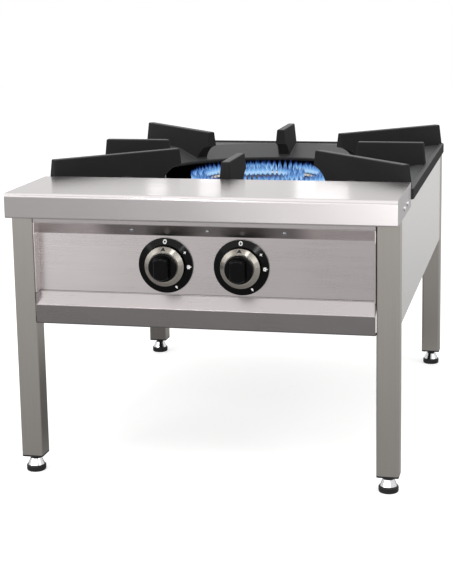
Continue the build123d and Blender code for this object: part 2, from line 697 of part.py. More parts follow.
def make_air_supply():
    """Air shutter and injector of each mixing tube."""
    shutter_front = MOUTH_DEPTH + SHUTTER_SETBACK
    shutter_bore = MOUTH_RADIUS + SLIDING_CLEARANCE
    shutter_back = shutter_front + SHUTTER_LENGTH
    shutter = tube(shutter_bore + SHUTTER_WALL, shutter_bore, -shutter_back, -shutter_front)
    injector = hexagon(INJECTOR_FLATS, -NOSE_FRONT, -TAP_BACK)
    thread_end = INJECTOR_THREAD - TAP_BACK
    nose_tip = -NOSE_FRONT - INJECTOR_NOSE
    injector = injector + upright(INJECTOR_THREAD_RADIUS, -TAP_BACK, thread_end)
    injector = injector + upright(INJECTOR_NOSE_RADIUS, nose_tip, -NOSE_FRONT)
    injector = injector - upright(INJECTOR_BORE, nose_tip, thread_end)
    for name in SIDES:
        save(at_tap(shutter, name), f"air_shutter_{name}")
        save(at_tap(injector, name), f"injector_{name}")


# Taps

def bonnet_screw_holes(clearance, z0, z1):
    """The two screw holes beside a spindle."""
    hole = upright(SCREW_SHANK_RADIUS + clearance, z0, z1)
    return [Pos(side * BONNET_SCREW_OFFSET, 0, 0) * hole for side in SIDES.values()]


def flatted_bar(radius, flat, z0, z1):
    """Round bar with one flat, which stops a knob from slipping round."""
    return upright(radius, z0, z1) - block(flat, 2 * radius, -radius, radius, z0, z1)


def tap_body(name, side):
    """Barrel with a flange in front, a magnet housing beside it and an inlet neck below."""
    plate = RectangleRounded(BONNET_WIDTH, BONNET_HEIGHT, BONNET_CORNER)
    body = upright(TAP_RADIUS, -TAP_BACK, -BONNET_BACK)
    body = body + prism(plate, -BONNET_BACK - TAP_FLANGE, -BONNET_BACK)
    magnet = upright(MAGNET_RADIUS, -MAGNET_BACK, MAGNET_LENGTH - MAGNET_BACK)
    body = body + Pos(-side * MAGNET_OFFSET, 0, 0) * magnet
    web = Box(MAGNET_OFFSET, MAGNET_WEB, MAGNET_LENGTH / 2)
    body = body + Pos(-side * MAGNET_OFFSET / 2, 0, -PORT_DEPTH) * web
    hollow = upright(PLUG_RADIUS + RUNNING_CLEARANCE, -PLUG_BORE_BACK, -BONNET_BACK)
    hollow = hollow + upright(TAP_OUTLET_RADIUS, -TAP_BACK, -PLUG_BORE_BACK)
    thread_radius = INJECTOR_THREAD_RADIUS + THREAD_CLEARANCE
    hollow = hollow + upright(thread_radius, -TAP_BACK, INJECTOR_THREAD - TAP_BACK)
    body = body - bonnet_screw_holes(THREAD_CLEARANCE, -BONNET_BACK - BONNET_SCREW_GRIP, -BONNET_BACK)
    inlet = Pos(TAP_X[name], MANIFOLD_Y, 0)
    placed = at_tap(body, name) + inlet * upright(TAP_INLET_RADIUS, BOSS_TOP, KNOB_Z)
    return placed - at_tap(hollow, name) - inlet * upright(TAP_OUTLET_RADIUS, BOSS_TOP, KNOB_Z)


def tap_bonnet():
    """Plate that closes the tap and guides the spindle, clamped behind the panel."""
    plate = RectangleRounded(BONNET_WIDTH, BONNET_HEIGHT, BONNET_CORNER)
    bonnet = prism(plate, -BONNET_BACK, -SHEET)
    bonnet = bonnet - upright(SPINDLE_RADIUS + RUNNING_CLEARANCE, -BONNET_BACK, -SHEET)
    return bonnet - bonnet_screw_holes(COLLAR_CLEARANCE, -BONNET_BACK, -SHEET)


def tap_plug():
    """Turning plug: a blind bore for spindle and spring, and a gas port that faces down at full flame."""
    plug = upright(PLUG_RADIUS, -PLUG_BACK, -PLUG_FRONT)
    plug = plug - upright(SPINDLE_RADIUS + RUNNING_CLEARANCE, -SPRING_BACK, -PLUG_FRONT)
    plug = plug - upright(PLUG_PORT_RADIUS, -PLUG_BACK, -PORT_DEPTH)
    sideways = Rot(0, 0, FULL_FLAME_TURN - 180) * Rot(-90, 0, 0)
    return plug - Pos(0, 0, -PORT_DEPTH) * sideways * upright(PLUG_PORT_RADIUS, 0, 2 * PLUG_RADIUS)


def make_taps():
    spindle = upright(SPINDLE_RADIUS, -SPINDLE_TIP, SKIRT_BACK)
    spindle = spindle + flatted_bar(SPINDLE_RADIUS, SPINDLE_FLAT, SKIRT_BACK, SKIRT_BACK + SPINDLE_GRIP)
    spring_radius = SPINDLE_RADIUS - SPRING_CLEARANCE
    spring = tube(spring_radius, spring_radius - SPRING_WALL, -SPRING_BACK, -SPINDLE_TIP)
    screw = upright(SCREW_SHANK_RADIUS, -BONNET_BACK - BONNET_SCREW_GRIP, 0)
    screw = screw + upright(SCREW_HEAD_RADIUS, 0, SCREW_HEAD_HEIGHT)
    screws = []
    for name, side in SIDES.items():
        save(tap_body(name, side), f"tap_body_{name}")
        save(at_tap(tap_bonnet(), name), f"tap_bonnet_{name}")
        save(at_tap(tap_plug(), name), f"tap_plug_{name}")
        save(at_tap(spindle, name), f"spindle_{name}")
        save(at_tap(spring, name), f"tap_spring_{name}")
        for hand in SIDES.values():
            screws.append(at_tap(Pos(hand * BONNET_SCREW_OFFSET, 0, 0) * screw, name))
    save(Compound(children=screws), "tap_bonnet_screws")


# Dials and knobs

def dial():
    """Hollow black disc on the panel, with a sloping border for the marks."""
    return turned([
        (DIAL_RADIUS, 0),
        (DIAL_RADIUS, DIAL_EDGE),
        (DIAL_FLAT_RADIUS, DIAL_HEIGHT),
        (SPINDLE_HOLE, DIAL_HEIGHT),
        (SPINDLE_HOLE, DIAL_HEIGHT - DIAL_WALL),
        (DIAL_FLAT_RADIUS, DIAL_HEIGHT - DIAL_WALL),
        (DIAL_RADIUS - DIAL_WALL, DIAL_EDGE - DIAL_WALL),
        (DIAL_RADIUS - DIAL_WALL, 0),
    ])


def knob_skirt():
    """Steel cone round the hub of a knob."""
    hole = HUB_RADIUS + COLLAR_CLEARANCE
    return turned([
        (SKIRT_RADIUS, SKIRT_BACK),
        (SKIRT_RADIUS, SKIRT_BACK + SKIRT_EDGE),
        (SKIRT_TOP_RADIUS, SKIRT_FRONT),
        (hole, SKIRT_FRONT),
        (hole, SKIRT_FRONT - SKIRT_WALL),
        (SKIRT_TOP_RADIUS - SKIRT_WALL, SKIRT_FRONT - SKIRT_WALL),
        (SKIRT_RADIUS - SKIRT_WALL, SKIRT_BACK + SKIRT_EDGE - SKIRT_WALL),
        (SKIRT_RADIUS - SKIRT_WALL, SKIRT_BACK),
    ])


def knob_grip():
    """Hub, disc and finger bar of a knob, moulded in one."""
    disc = upright(GRIP_RADIUS, SKIRT_FRONT, GRIP_FACE)
    disc = fillet(disc.edges().group_by(Axis.Z)[-1], GRIP_ROUND)
    outline = Circle(GRIP_BAR_LENGTH / 2) & Rectangle(GRIP_BAR_WIDTH, GRIP_BAR_LENGTH)
    bar = prism(outline, SKIRT_FRONT, GRIP_FACE + GRIP_BAR_HEIGHT)
    bar = fillet(bar.edges().group_by(Axis.Z)[-1], GRIP_BAR_ROUND)
    hub = upright(HUB_RADIUS, SKIRT_BACK, SKIRT_FRONT)
    bore = flatted_bar(
        SPINDLE_RADIUS + RUNNING_CLEARANCE, SPINDLE_FLAT + RUNNING_CLEARANCE,
        SKIRT_BACK, SKIRT_BACK + SPINDLE_GRIP,
    )
    return hub + disc + bar - bore


def make_knobs():
    for name in SIDES:
        save(at_tap(dial(), name), f"dial_{name}")
        save(at_tap(knob_skirt(), name), f"knob_skirt_{name}")
        save(at_tap(knob_grip(), name), f"knob_grip_{name}")


# Gas pipes

def make_manifold():
    along = Pos(0, MANIFOLD_Y, MANIFOLD_Z) * Rot(0, 90, 0)
    manifold = along * upright(PIPE_RADIUS, -MANIFOLD_X, MANIFOLD_X)
    bore = along * upright(PIPE_BORE, PIPE_END_WALL - MANIFOLD_X, MANIFOLD_X)
    for x in TAP_X.values():
        tap = Pos(x, MANIFOLD_Y, 0)
        manifold = manifold + tap * upright(BOSS_RADIUS, MANIFOLD_Z, BOSS_TOP)
        bore = bore + tap * upright(TAP_OUTLET_RADIUS, MANIFOLD_Z, BOSS_TOP)
    save(manifold - bore, "manifold_pipe")


def make_supply():
    start = (MANIFOLD_X, MANIFOLD_Y, MANIFOLD_Z)
    route = FilletPolyline(
        start, (SUPPLY_X, MANIFOLD_Y, MANIFOLD_Z), (SUPPLY_X, INLET_HEX_Y, MANIFOLD_Z), radius=PIPE_BEND
    )
    section = Plane(start, z_dir=(1, 0, 0)) * (Circle(PIPE_RADIUS) - Circle(PIPE_BORE))
    save(sweep(section, path=route), "supply_pipe")

    locknut_back = REAR_PANEL_Y + LOCKNUT_THICKNESS
    inlet_back = REAR_Y + INLET_REACH
    inlet = hexagon(INLET_FLATS, INLET_HEX_Y, INLET_HEX_Y + INLET_HEX)
    inlet = inlet + upright(INLET_SHANK_RADIUS, INLET_HEX_Y, locknut_back + INLET_SHANK_SPARE)
    inlet = inlet + upright(INLET_RADIUS, INLET_HEX_Y, inlet_back)
    inlet = inlet - upright(INLET_BORE, INLET_HEX_Y, inlet_back)
    save(rearward(inlet), "gas_inlet")
    locknut = hexagon(INLET_FLATS, REAR_PANEL_Y, locknut_back)
    locknut = locknut - upright(INLET_SHANK_RADIUS + THREAD_CLEARANCE, REAR_PANEL_Y, locknut_back)
    save(rearward(locknut), "inlet_locknut")

    y0 = GRATE_Y - CLIP_WIDTH / 2
    y1 = GRATE_Y + CLIP_WIDTH / 2
    collar = PIPE_RADIUS + COLLAR_CLEARANCE
    clip = rearward(upright(collar + CLIP_WALL, y0, y1))
    clip = clip + block(
        SUPPLY_X, SIDE_INNER_X, y0, y1, MANIFOLD_Z - CLIP_WALL / 2, MANIFOLD_Z + CLIP_WALL / 2
    )
    clip = clip + block(
        SIDE_INNER_X - CLIP_WALL, SIDE_INNER_X, y0, y1,
        MANIFOLD_Z - CLIP_FOOT / 2, MANIFOLD_Z + CLIP_FOOT / 2,
    )
    save(clip - rearward(upright(collar, y0, y1)), "pipe_clip")


# Thermocouples

def thermocouple(name, ring_radius, ring_width):
    """Lead from the tap's magnet, and a probe on a bracket beside a ring."""
    x = TAP_X[name] - SIDES[name] * MAGNET_OFFSET
    wall = ring_radius + ring_width / 2
    reach = wall + PROBE_GAP
    y = -math.sqrt(reach ** 2 - x ** 2)
    start = (x, FACE_Y + MAGNET_BACK, KNOB_Z)
    route = FilletPolyline(
        start, (x, GRATE_Y + y, KNOB_Z), (x, GRATE_Y + y, PROBE_BOTTOM), radius=LEAD_BEND
    )
    lead = sweep(Plane(start, z_dir=(0, 1, 0)) * Circle(LEAD_RADIUS), path=route)
    probe = upright(PROBE_RADIUS, PROBE_BOTTOM, PROBE_TOP)
    probe = fillet(probe.edges().group_by(Axis.Z)[-1], PROBE_RADIUS / 2)
    half = PROBE_BRACKET / 2
    bracket = block(wall + PROBE_CLEARANCE, reach, -half, half, PROBE_BOTTOM, PROBE_BOTTOM + PROBE_BRACKET)
    turn = Rot(0, 0, math.degrees(math.atan2(y, x)))
    return lead + at_burner(Pos(x, y, 0) * probe) + at_burner(turn * bracket)


def make_thermocouples():
    save(thermocouple("left", OUTER_RING_RADIUS, OUTER_RING_WIDTH), "thermocouple_left")
    save(thermocouple("right", INNER_RING_RADIUS, INNER_RING_WIDTH), "thermocouple_right")


make_legs()
make_ledge()
make_control_panel()
make_side_panels()
make_rear_panel()
make_cross_rail()
make_grate()
make_burners()
make_burner_bars()
make_air_supply()
make_taps()
make_knobs()
make_manifold()
make_supply()
make_thermocouples()
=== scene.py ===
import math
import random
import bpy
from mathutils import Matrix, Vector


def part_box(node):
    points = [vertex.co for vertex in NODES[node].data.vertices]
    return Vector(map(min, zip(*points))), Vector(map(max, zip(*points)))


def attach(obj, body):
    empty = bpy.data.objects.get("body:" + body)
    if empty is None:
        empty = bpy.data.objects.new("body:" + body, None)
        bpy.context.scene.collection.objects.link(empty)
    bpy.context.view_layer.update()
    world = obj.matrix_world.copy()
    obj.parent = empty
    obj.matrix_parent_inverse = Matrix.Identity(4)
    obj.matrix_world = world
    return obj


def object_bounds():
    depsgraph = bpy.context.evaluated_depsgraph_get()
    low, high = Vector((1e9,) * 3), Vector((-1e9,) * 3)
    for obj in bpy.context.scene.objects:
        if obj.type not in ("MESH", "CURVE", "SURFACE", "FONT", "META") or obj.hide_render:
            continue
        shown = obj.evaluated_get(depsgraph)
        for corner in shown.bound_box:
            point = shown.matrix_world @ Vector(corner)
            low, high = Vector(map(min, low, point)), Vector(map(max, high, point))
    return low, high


bl_info = {
    "name": "Stock pot stove",
    "version": (1, 0, 0),
    "blender": (4, 5, 0),
    "location": "View3D > Sidebar > Stove",
    "description": "Finishes, dial marks, flames and studio for the packed stock pot stove",
    "category": "Object",
}

import bpy
from bpy.props import FloatProperty, FloatVectorProperty, PointerProperty
from bpy.types import NodeSocket, Operator, Panel, PropertyGroup
from mathutils import Matrix, Vector

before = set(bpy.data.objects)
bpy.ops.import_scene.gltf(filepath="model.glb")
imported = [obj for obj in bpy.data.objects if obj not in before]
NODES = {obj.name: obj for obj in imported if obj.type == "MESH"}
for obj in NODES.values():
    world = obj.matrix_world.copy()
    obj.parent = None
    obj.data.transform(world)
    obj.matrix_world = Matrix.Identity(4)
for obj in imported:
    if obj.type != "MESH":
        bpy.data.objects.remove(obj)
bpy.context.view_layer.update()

MM = 0.001
SIDES = ("left", "right")
CORNERS = ("front_left", "front_right", "rear_left", "rear_right")
PHOTO_SIZE = (452, 584)  # width and height in pixels
SENSOR = 36.0  # mm, along the longer side of the picture
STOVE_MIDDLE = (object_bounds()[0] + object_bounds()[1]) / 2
APRON, FLANGE, SLOPE = 35 * MM, 12 * MM, 22 * MM  # heights of the control panel's folds
FOLD_SHADE = 1.5 * MM  # half the height of the shade painted in the fold at the foot of the panel's face
PANEL_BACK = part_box("control_panel")[0].y + 23 * MM  # just behind the sunk face of the panel
FACE_UPRIGHT = -100 * MM  # where the panel's face stands upright, from the stove's middle
PRINT_STANDOFF = 2 * MM  # print starts so far in front of a knob, and is then laid on it

# Brushed steel
BRUSH_LENGTH, BRUSH_WIDTH = 160 * MM, 2.2 * MM  # brush lines, drawn coarser than real so that they show
TOOL_MARK = 0.9 * MM  # rings of turned steel, also coarser than real
END_ON = 0.9  # a face whose normal has more X than this is an end of a fold
PATCH_CORE = 0.75  # share of a patch's reach that has its full tone
SOOT_ROUGHNESS = 0.7

# Flames
FLAME_BODY, FLAME_MANTLE, FLAME_TIP = 0.22, 0.46, 0.74  # heights of the colours, over the flame's height
FLAME_LENGTHS = ((0.1, 1.5), (0.2, 1.15), (0.3, 0.75), (0.25, 0.5))  # rise over the height, and taper
FLAME_ROWS = (-1, 0, 1)
FLAME_SIZES = (0.85, 1.1)  # smallest and largest
FLAME_SEED = 7

# Panel screws
SCREW_LENGTHS = ((0.3, 0.97), (0.2, 0.86), (0.1, 0.78))  # rise over the radius, and taper
SCREW_SOCKET = 0.35  # width of the rim round the socket, and the socket's depth, over the radius

# Printed marks, as shares of their height
ZERO_WIDTH = 0.88
SPARK_WAIST = 0.42  # inner corners of the spark, over its points
TONGUE_RADIUS, TONGUE_TAPER = 0.3, 0.35
SIDE_TONGUE, SIDE_OFFSET, SIDE_DROP = 0.7, 0.26, 0.12  # smaller tongues of the full flame mark
SIDE_LEAN = math.radians(22)
ARROW_WIDTH, ARROW_NOTCH = 1.2, 0.6

# Sockets of a Mix node that mixes colours
FACTOR, FIRST, SECOND, MIXED = 0, 6, 7, 2


def linear(hex_colour):
    """Linear RGB of an sRGB hex colour."""
    channels = (int(hex_colour[i:i + 2], 16) / 255 for i in (0, 2, 4))
    return tuple(c / 12.92 if c <= 0.04045 else ((c + 0.055) / 1.055) ** 2.4 for c in channels)


def colour(name, description, hex_colour):
    """Property that holds a colour."""
    return FloatVectorProperty(
        name=name, description=description, default=linear(hex_colour), subtype="COLOR", min=0.0, max=1.0
    )


def length(name, description, millimetres):
    """Property that holds a length."""
    return FloatProperty(name=name, description=description, default=millimetres * MM, unit="LENGTH")


def angle(name, description, degrees):
    """Property that holds an angle."""
    return FloatProperty(name=name, description=description, default=math.radians(degrees), subtype="ANGLE")


# Settings

class StoveFinish(PropertyGroup):
    """Colours of the finishes"""

    stainless: colour("Stainless steel", "Brushed sheet of the front and rear panels", "cac3c3")
    ledge_stainless: colour("Ledge sheet", "Brushed stainless of the front ledge", "c9c4c4")
    # painted light: the side panels' sheet is a paler copy of the stainless, for the light that falls on the
    # sides
    side_stainless: colour("Side steel", "Brushed sheet of the side panels", "e6e4e2")
    leg_steel: colour("Leg steel", "Brushed square tube of the legs", "b6b1ab")
    soot: colour("Soot", "Sheet darkened by heat on the inside", "0e0d0d")
    iron: colour("Cast iron", "Black enamelled casting of the grate", "212020")
    # painted sheen: level faces of the grate get a paler colour for the light from above that they catch
    iron_top: colour("Iron tops", "Level faces of the grate, dusty and rubbed", "414242")
    iron_edge: colour("Worn iron", "Enamel rubbed thin along the edges of the grate", "454443")
    burner: colour("Burner iron", "Bare grey casting of the burner rings", "4a4643")
    burner_edge: colour("Burner edge", "Machined edges of the burner rings", "d6ccba")
    knob: colour("Knob black", "Moulded dial and grip", "070708")
    skirt: colour("Skirt steel", "Turned steel cone of a knob", "aba69e")
    plastic: colour("Foot plastic", "Moulded plugs and feet", "17171a")
    chrome: colour("Chrome", "Plated cones of the feet, and screws", "d8d8da")
    zinc: colour("Zinc", "Plated bars, pipes and clip", "a9adb0")
    brass: colour("Brass", "Taps, injectors and inlet", "c39a4c")
    copper: colour("Copper", "Thermocouple leads", "b5653f")
    aluminium: colour("Aluminium", "Air shutters", "b9bbbd")
    print_white: colour("Dial marks", "White print on the dials", "e6e6e4")
    print_black: colour("Pointer", "Black print on the skirts", "0d0d0d")


class StoveMarks(PropertyGroup):
    """Sizes of the printed marks and the panel's screws"""

    ring: length("Mark circle", "Radius at which the marks sit on a dial", 43.5)
    zero: length("Zero", "Height of the off mark", 8.4)
    zero_stroke: length("Zero stroke", "Width of the off mark's line", 2.3)
    spark: length("Spark", "Size of the ignition mark", 6.5)
    large_flame: length("Large flame", "Height of the full flame mark", 7.8)
    small_flame: length("Small flame", "Height of the low flame mark", 6.0)
    pointer: length("Pointer", "Height of the arrow on a skirt", 8.0)
    pointer_ring: length("Pointer circle", "Radius at which the arrow sits on a skirt", 32.3)
    thickness: length("Print thickness", "How far the print stands proud", 0.2)
    screw: length("Panel screw", "Head of a screw in the control panel", 8.0)
    screw_spacing: length("Screw spacing", "From one panel screw to the next", 138.0)
    screw_offset: length("Screw offset", "Middle panel screw to the right of the stove's middle", 11.0)


class StoveFlames(PropertyGroup):
    """Sizes and colours of the flames"""

    outer_ring: length("Outer ring", "Radius of the outer burner ring", 137.0)
    inner_ring: length("Inner ring", "Radius of the inner burner ring", 76.0)
    row_offset: length("Row offset", "Rows of ports, from one to the next", 8.5)
    spacing: length("Port spacing", "Ports round the middle of a ring", 12.0)
    radius: length("Flame radius", "Flame at its root", 2.0)
    height: length("Flame height", "Root to tip", 23.0)
    lean: angle("Lean", "Tip away from the middle of its ring", 12.0)
    root: colour("Flame root", "Blue just above the ports", "8fbcee")
    body: colour("Flame body", "Pale core of a flame", "b4d8fb")
    mantle: colour("Flame mantle", "Blue round the top of the core", "7ab0ea")
    tip: colour("Flame tip", "Deep blue end of a flame", "2a4a92")


class StoveStudio(PropertyGroup):
    """Camera, floor and lights"""

    camera: FloatVectorProperty(
        name="Camera", description="Where the photograph was taken from", subtype="XYZ", unit="LENGTH",
        default=(0.6060, -2.8000, 0.9107),
    )
    yaw: angle("Yaw", "Turn of the camera to the right", -12.38)
    pitch: angle("Pitch", "Tilt of the camera downwards", 10.52)
    roll: angle("Roll", "Turn of the camera about its axis", 0.86)
    focal: FloatProperty(name="Focal length", description="In pixels of the photograph", default=1413.0)
    shift: FloatVectorProperty(
        name="Shift", description="How far the photograph is cut off its lens's middle, in picture heights",
        size=2, default=(-0.04, -0.1),
    )
    floor: colour("Floor", "Plain pale floor", "f4f4f3")


# Modelling helpers

def deselect():
    """Clears the selection."""
    bpy.ops.object.select_all(action="DESELECT")
    bpy.context.view_layer.objects.active = None


def pick(*objects):
    """Selects some objects and makes the first one active."""
    deselect()
    for item in objects:
        item.select_set(True)
    bpy.context.view_layer.objects.active = objects[0]


def settle(piece):
    """Applies a piece's place, turn and scale to its mesh."""
    pick(piece)
    bpy.ops.object.transform_apply(location=True, rotation=True, scale=True)


def apply_modifier(piece, kind, **settings):
    """Adds a modifier and applies it."""
    pick(piece)
    modifier = piece.modifiers.new(kind.title(), kind)
    for key, value in settings.items():
        setattr(modifier, key, value)
    bpy.ops.object.modifier_apply(modifier=modifier.name)


def flat_circle(vertices, radius):
    """Filled circle in the XY plane, with its first vertex on the Y axis."""
    deselect()
    bpy.ops.mesh.primitive_circle_add(vertices=vertices, radius=radius, fill_type="NGON")
    return bpy.context.object


def join(pieces):
    """Joins pieces into the first one."""
    pick(*pieces)
    if len(pieces) > 1:
        bpy.ops.object.join()
    return bpy.context.object


def extrude_up(rise):
    """Extrudes the selected face upwards, in edit mode."""
    bpy.ops.mesh.extrude_region_move(TRANSFORM_OT_translate={"value": (0.0, 0.0, rise)})


def extrude_lengths(lengths, unit):
    """Extrudes the selected face upwards in tapering lengths, and returns the height reached."""
    top = 0.0
    for rise, width in lengths:
        top += rise * unit
        extrude_up(rise * unit)
        bpy.ops.transform.resize(value=(width, width, 1.0), center_override=(0.0, 0.0, top))
    return top


def close_edit():
    """Turns all normals outwards and leaves edit mode."""
    bpy.ops.mesh.select_all(action="SELECT")
    bpy.ops.mesh.normals_make_consistent(inside=False)
    bpy.ops.object.mode_set(mode="OBJECT")


def print_on(piece, node_name, thickness):
    """Lays a flat piece on a CAD node from the front, as print of a given thickness."""
    settle(piece)
    bpy.ops.object.mode_set(mode="EDIT")
    bpy.ops.mesh.select_all(action="SELECT")
    bpy.ops.mesh.quads_convert_to_tris()
    bpy.ops.mesh.subdivide(number_cuts=2)
    bpy.ops.object.mode_set(mode="OBJECT")
    apply_modifier(
        piece, "SHRINKWRAP", target=NODES[node_name], wrap_method="PROJECT",
        use_project_y=True, use_positive_direction=True, use_negative_direction=False,
    )
    apply_modifier(piece, "SOLIDIFY", thickness=thickness, offset=1.0)


def finish_piece(piece, name, body, material):
    """Names a new piece, and gives it its material, body and slot."""
    piece.name = name
    piece.data.name = name
    piece.data.materials.clear()
    piece.data.materials.append(material)
    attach(piece, body)


def dress(material, *names):
    """Gives a material to CAD nodes."""
    for name in names:
        NODES[name].data.materials.clear()
        NODES[name].data.materials.append(material)


def each(pattern, parts):
    """Names made from a pattern."""
    return [pattern.format(part) for part in parts]


def centre_of(name):
    """Middle of a CAD node's box."""
    low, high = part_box(name)
    return (low + high) / 2


# Materials

def start_material(name):
    """New material with its node tree and shader."""
    material = bpy.data.materials.new(name)
    material.use_nodes = True
    tree = material.node_tree
    return material, tree, tree.nodes["Principled BSDF"]


def fill(tree, target, sockets):
    """Fills a node's sockets with values or links."""
    for socket, value in sockets.items():
        if isinstance(value, NodeSocket):
            tree.links.new(value, target.inputs[socket])
        else:
            target.inputs[socket].default_value = value


def node(tree, kind, sockets=None, **settings):
    """Adds a shader node with some settings, and fills its sockets."""
    made = tree.nodes.new(kind)
    for key, value in settings.items():
        setattr(made, key, value)
    fill(tree, made, sockets or {})
    return made


def shade(rgb, factor):
    """Colour for a socket, lighter or darker by a factor."""
    return (*(min(channel * factor, 1.0) for channel in rgb), 1.0)


def leaning(tree, normal, place, endways, warp):
    """Normal of a front that isn't quite flat: upright at one end of a sheet, leaning back at the other."""
    upright_x, leaning_x, low, high, lean = warp
    bend = math.tan(lean) / (leaning_x - upright_x)
    front = node(tree, "ShaderNodeMath", {0: endways, 1: END_ON}, operation="LESS_THAN").outputs["Value"]
    aside = node(tree, "ShaderNodeMath", {0: place["X"], 1: upright_x}, operation="SUBTRACT").outputs["Value"]
    above = node(tree, "ShaderNodeMapRange", {
        "Value": place["Z"], "From Min": low, "From Max": high,
        "To Min": (low - high) / 2, "To Max": (high - low) / 2,
    }).outputs["Result"]
    twist = node(tree, "ShaderNodeMath", {0: aside, 1: above}, operation="MULTIPLY").outputs["Value"]
    back = node(tree, "ShaderNodeMath", {0: twist, 1: front}, operation="MULTIPLY").outputs["Value"]
    return node(tree, "ShaderNodeBump", {
        "Height": back, "Strength": 1.0, "Distance": abs(bend), "Normal": normal,
    }, invert=bend > 0).outputs["Normal"]


def sprung(tree, normal, place, springback):
    """Normal of a slope at 45 degrees that looks further forward, because its fold has sprung open."""
    low, high, lean = springback
    rise = node(tree, "ShaderNodeMapRange", {
        "Value": place["Z"], "From Min": low, "From Max": high, "To Min": 0.0, "To Max": high - low,
    }).outputs["Result"]
    return node(tree, "ShaderNodeBump", {
        "Height": rise, "Strength": 1.0, "Distance": math.tan(lean) / math.sqrt(0.5), "Normal": normal,
    }).outputs["Normal"]


def patched(tree, tone, rgb, place, painted_bands):
    """Colour of a sheet with light and shade painted on: paler or darker bands between some heights, so far
    to each side of the middle.
    """
    sideways = node(tree, "ShaderNodeMath", {0: place["X"]}, operation="ABSOLUTE").outputs["Value"]
    for low, high, reach, factor in painted_bands:
        band = node(tree, "ShaderNodeMath", {
            0: place["Z"], 1: (low + high) / 2, 2: (high - low) / 2,
        }, operation="COMPARE").outputs["Value"]
        fade = node(tree, "ShaderNodeMapRange", {
            "Value": sideways, "From Min": PATCH_CORE * reach, "From Max": reach,
            "To Min": 1.0, "To Max": 0.0,
        }, interpolation_type="SMOOTHSTEP").outputs["Result"]
        share = node(tree, "ShaderNodeMath", {0: band, 1: fade}, operation="MULTIPLY").outputs["Value"]
        tone = node(tree, "ShaderNodeMix", {
            FACTOR: share, FIRST: tone, SECOND: shade(rgb, factor),
        }, data_type="RGBA").outputs[MIXED]
    return tone


def inside(tree, coords, facing, place):
    """Socket that is 1 on the side of a sheet that looks at the burner."""
    outward = node(tree, "ShaderNodeVectorMath", {
        0: coords, 1: STOVE_MIDDLE,
    }, operation="SUBTRACT").outputs["Vector"]
    away = node(tree, "ShaderNodeVectorMath", {
        0: facing, 1: outward,
    }, operation="DOT_PRODUCT").outputs["Value"]
    within = node(tree, "ShaderNodeMath", {0: away, 1: 0.0}, operation="LESS_THAN").outputs["Value"]
    behind = node(tree, "ShaderNodeMath", {
        0: place["Y"], 1: PANEL_BACK,
    }, operation="GREATER_THAN").outputs["Value"]
    return node(tree, "ShaderNodeMath", {0: within, 1: behind}, operation="MULTIPLY").outputs["Value"]


